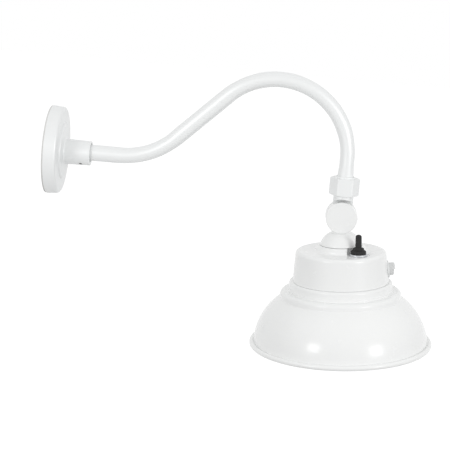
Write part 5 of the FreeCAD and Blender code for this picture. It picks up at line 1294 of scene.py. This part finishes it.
def make_floor(scene, height):
    """Pale floor, white as background and clear from below, that still takes the sconce's shadow."""
    mesh = bpy.data.meshes.new("floor")
    half = 9.0
    mesh.from_pydata([(-half, -half, height), (half, -half, height), (half, half, height),
                      (-half, half, height)], [], [(0, 1, 2, 3)])
    floor = bpy.data.objects.new("floor", mesh)
    scene.collection.objects.link(floor)
    material = bpy.data.materials.new("pale_floor")
    material.use_nodes = True
    web = Web(material.node_tree)
    plain = material.node_tree.nodes["Principled BSDF"]
    web.feed(plain, {"Base Color": (0.5, 0.5, 0.5, 1), "Roughness": 0.9})
    glow = web.add("ShaderNodeEmission", {"Color": WHITE, "Strength": 0.92})
    matt = web.add("ShaderNodeBsdfDiffuse", {"Color": (0.2, 0.2, 0.2, 1)})
    both = web.add("ShaderNodeAddShader", {0: glow.outputs[0], 1: matt.outputs[0]})
    mixed = web.add("ShaderNodeMixShader", {0: seen(web), 1: plain.outputs[0], 2: both.outputs[0]})
    facing = web.add("ShaderNodeNewGeometry", {})
    clear = web.add("ShaderNodeBsdfTransparent", {})
    whole = web.add("ShaderNodeMixShader", {0: facing.outputs["Backfacing"], 1: mixed.outputs[0],
                                            2: clear.outputs[0]})
    web.feed(material.node_tree.nodes["Material Output"], {"Surface": whole.outputs[0]})
    mesh.materials.append(material)


def make_room(scene, strength):
    """Even white room light, and a white background."""
    world = bpy.data.worlds.new("studio")
    world.use_nodes = True
    web = Web(world.node_tree)
    room = world.node_tree.nodes["Background"]
    web.feed(room, {"Color": WHITE, "Strength": strength})
    white = web.add("ShaderNodeBackground", {"Color": WHITE, "Strength": 1.0})
    mixed = web.add("ShaderNodeMixShader", {0: seen(web), 1: room.outputs[0], 2: white.outputs[0]})
    web.feed(world.node_tree.nodes["World Output"], {"Surface": mixed.outputs[0]})
    scene.world = world


def make_softbox(scene, name, direction, power, settings):
    """A square softbox that faces the sconce from that direction."""
    data = bpy.data.lights.new(name, "AREA")
    data.size = settings.box_side
    data.energy = power
    light = bpy.data.objects.new(name, data)
    way = direction.normalized()
    light.matrix_world = Matrix.Translation(AIM + way * settings.box_distance) \
        @ way.to_track_quat("Z", "Y").to_matrix().to_4x4()
    light.visible_camera = False
    scene.collection.objects.link(light)


def make_stage():
    """Camera, floor, room light and softboxes, at plain view settings."""
    scene = bpy.context.scene
    settings = scene.sconce_studio
    scene.view_settings.view_transform = "Standard"
    make_camera(scene)
    make_floor(scene, settings.floor)
    make_room(scene, settings.room)
    make_softbox(scene, "left_softbox", LEFT, settings.left_box, settings)
    make_softbox(scene, "right_softbox", RIGHT, settings.right_box, settings)


# ---- operators ----

class SCONCE_OT_finishes(bpy.types.Operator):
    """Make the sconce's materials"""
    bl_idname = "sconce.finishes"
    bl_label = "Finishes"

    def execute(self, context):
        make_materials()
        return {"FINISHED"}


class SCONCE_OT_canopy(bpy.types.Operator):
    """Make the wall canopy with its hub"""
    bl_idname = "sconce.canopy"
    bl_label = "Canopy"

    def execute(self, context):
        make_canopy()
        return {"FINISHED"}


class SCONCE_OT_arm(bpy.types.Operator):
    """Make the bent arm"""
    bl_idname = "sconce.arm"
    bl_label = "Arm"

    def execute(self, context):
        make_arm()
        return {"FINISHED"}


class SCONCE_OT_nut(bpy.types.Operator):
    """Make the compression nut"""
    bl_idname = "sconce.nut"
    bl_label = "Compression nut"

    def execute(self, context):
        make_nut()
        return {"FINISHED"}


class SCONCE_OT_knuckle(bpy.types.Operator):
    """Make the upper and lower halves of the tilting knuckle"""
    bl_idname = "sconce.knuckle"
    bl_label = "Knuckle"

    def execute(self, context):
        make_upper_knuckle()
        make_lower_knuckle()
        return {"FINISHED"}


class SCONCE_OT_housing(bpy.types.Operator):
    """Make the driver housing"""
    bl_idname = "sconce.housing"
    bl_label = "Housing"

    def execute(self, context):
        make_housing()
        return {"FINISHED"}


class SCONCE_OT_shade(bpy.types.Operator):
    """Make the stepped dome shade"""
    bl_idname = "sconce.shade"
    bl_label = "Shade"

    def execute(self, context):
        make_shade()
        return {"FINISHED"}


class SCONCE_OT_lens(bpy.types.Operator):
    """Make the lens and its ring"""
    bl_idname = "sconce.lens"
    bl_label = "Lens"

    def execute(self, context):
        make_lens()
        return {"FINISHED"}


class SCONCE_OT_boot(bpy.types.Operator):
    """Make the toggle switch's rubber boot"""
    bl_idname = "sconce.boot"
    bl_label = "Switch boot"

    def execute(self, context):
        make_boot()
        return {"FINISHED"}


class SCONCE_OT_photocell(bpy.types.Operator):
    """Make the photocell's flange and window"""
    bl_idname = "sconce.photocell"
    bl_label = "Photocell"

    def execute(self, context):
        make_photocell()
        return {"FINISHED"}


class SCONCE_OT_hardware(bpy.types.Operator):
    """Make the washers, gaskets and screws, and give every other part its material"""
    bl_idname = "sconce.hardware"
    bl_label = "Hardware"

    def execute(self, context):
        make_hardware()
        return {"FINISHED"}


class SCONCE_OT_stage(bpy.types.Operator):
    """Make the camera, floor, room light and softboxes"""
    bl_idname = "sconce.stage"
    bl_label = "Stage"

    def execute(self, context):
        make_stage()
        return {"FINISHED"}


STEPS = (SCONCE_OT_stage, SCONCE_OT_finishes, SCONCE_OT_canopy, SCONCE_OT_arm, SCONCE_OT_nut,
         SCONCE_OT_knuckle, SCONCE_OT_housing, SCONCE_OT_shade, SCONCE_OT_lens, SCONCE_OT_boot,
         SCONCE_OT_photocell, SCONCE_OT_hardware)
SETTINGS = {"sconce_canopy": CanopySettings, "sconce_arm": ArmSettings, "sconce_knuckle": KnuckleSettings,
            "sconce_head": HeadSettings, "sconce_switch": SwitchSettings,
            "sconce_photocell": PhotocellSettings, "sconce_finish": FinishSettings,
            "sconce_studio": StudioSettings}


class SCONCE_PT_panel(bpy.types.Panel):
    """The sconce's steps and settings"""
    bl_idname = "SCONCE_PT_panel"
    bl_label = "Gooseneck wall sconce"
    bl_space_type = "VIEW_3D"
    bl_region_type = "UI"
    bl_category = "Sconce"

    def draw(self, context):
        for step in STEPS:
            self.layout.operator(step.bl_idname)
        for name in SETTINGS:
            box = self.layout.box()
            box.label(text=name.removeprefix("sconce_").capitalize())
            group = getattr(context.scene, name)
            for item in group.bl_rna.properties:
                if item.identifier not in ("rna_type", "name"):
                    box.prop(group, item.identifier)


def register():
    """Register the settings, operators and panel."""
    for kind in (*SETTINGS.values(), *STEPS, SCONCE_PT_panel):
        bpy.utils.register_class(kind)
    for name, kind in SETTINGS.items():
        setattr(bpy.types.Scene, name, PointerProperty(type=kind))


def unregister():
    """Take them back."""
    for name in SETTINGS:
        delattr(bpy.types.Scene, name)
    for kind in (SCONCE_PT_panel, *reversed(STEPS), *SETTINGS.values()):
        bpy.utils.unregister_class(kind)


def main():
    """Make everything."""
    register()
    for step in STEPS:
        if getattr(bpy.ops.sconce, step.bl_idname.removeprefix("sconce."))() != {"FINISHED"}:
            raise RuntimeError(f"{step.bl_label} did not finish")


if __name__ == "__main__":
    main()
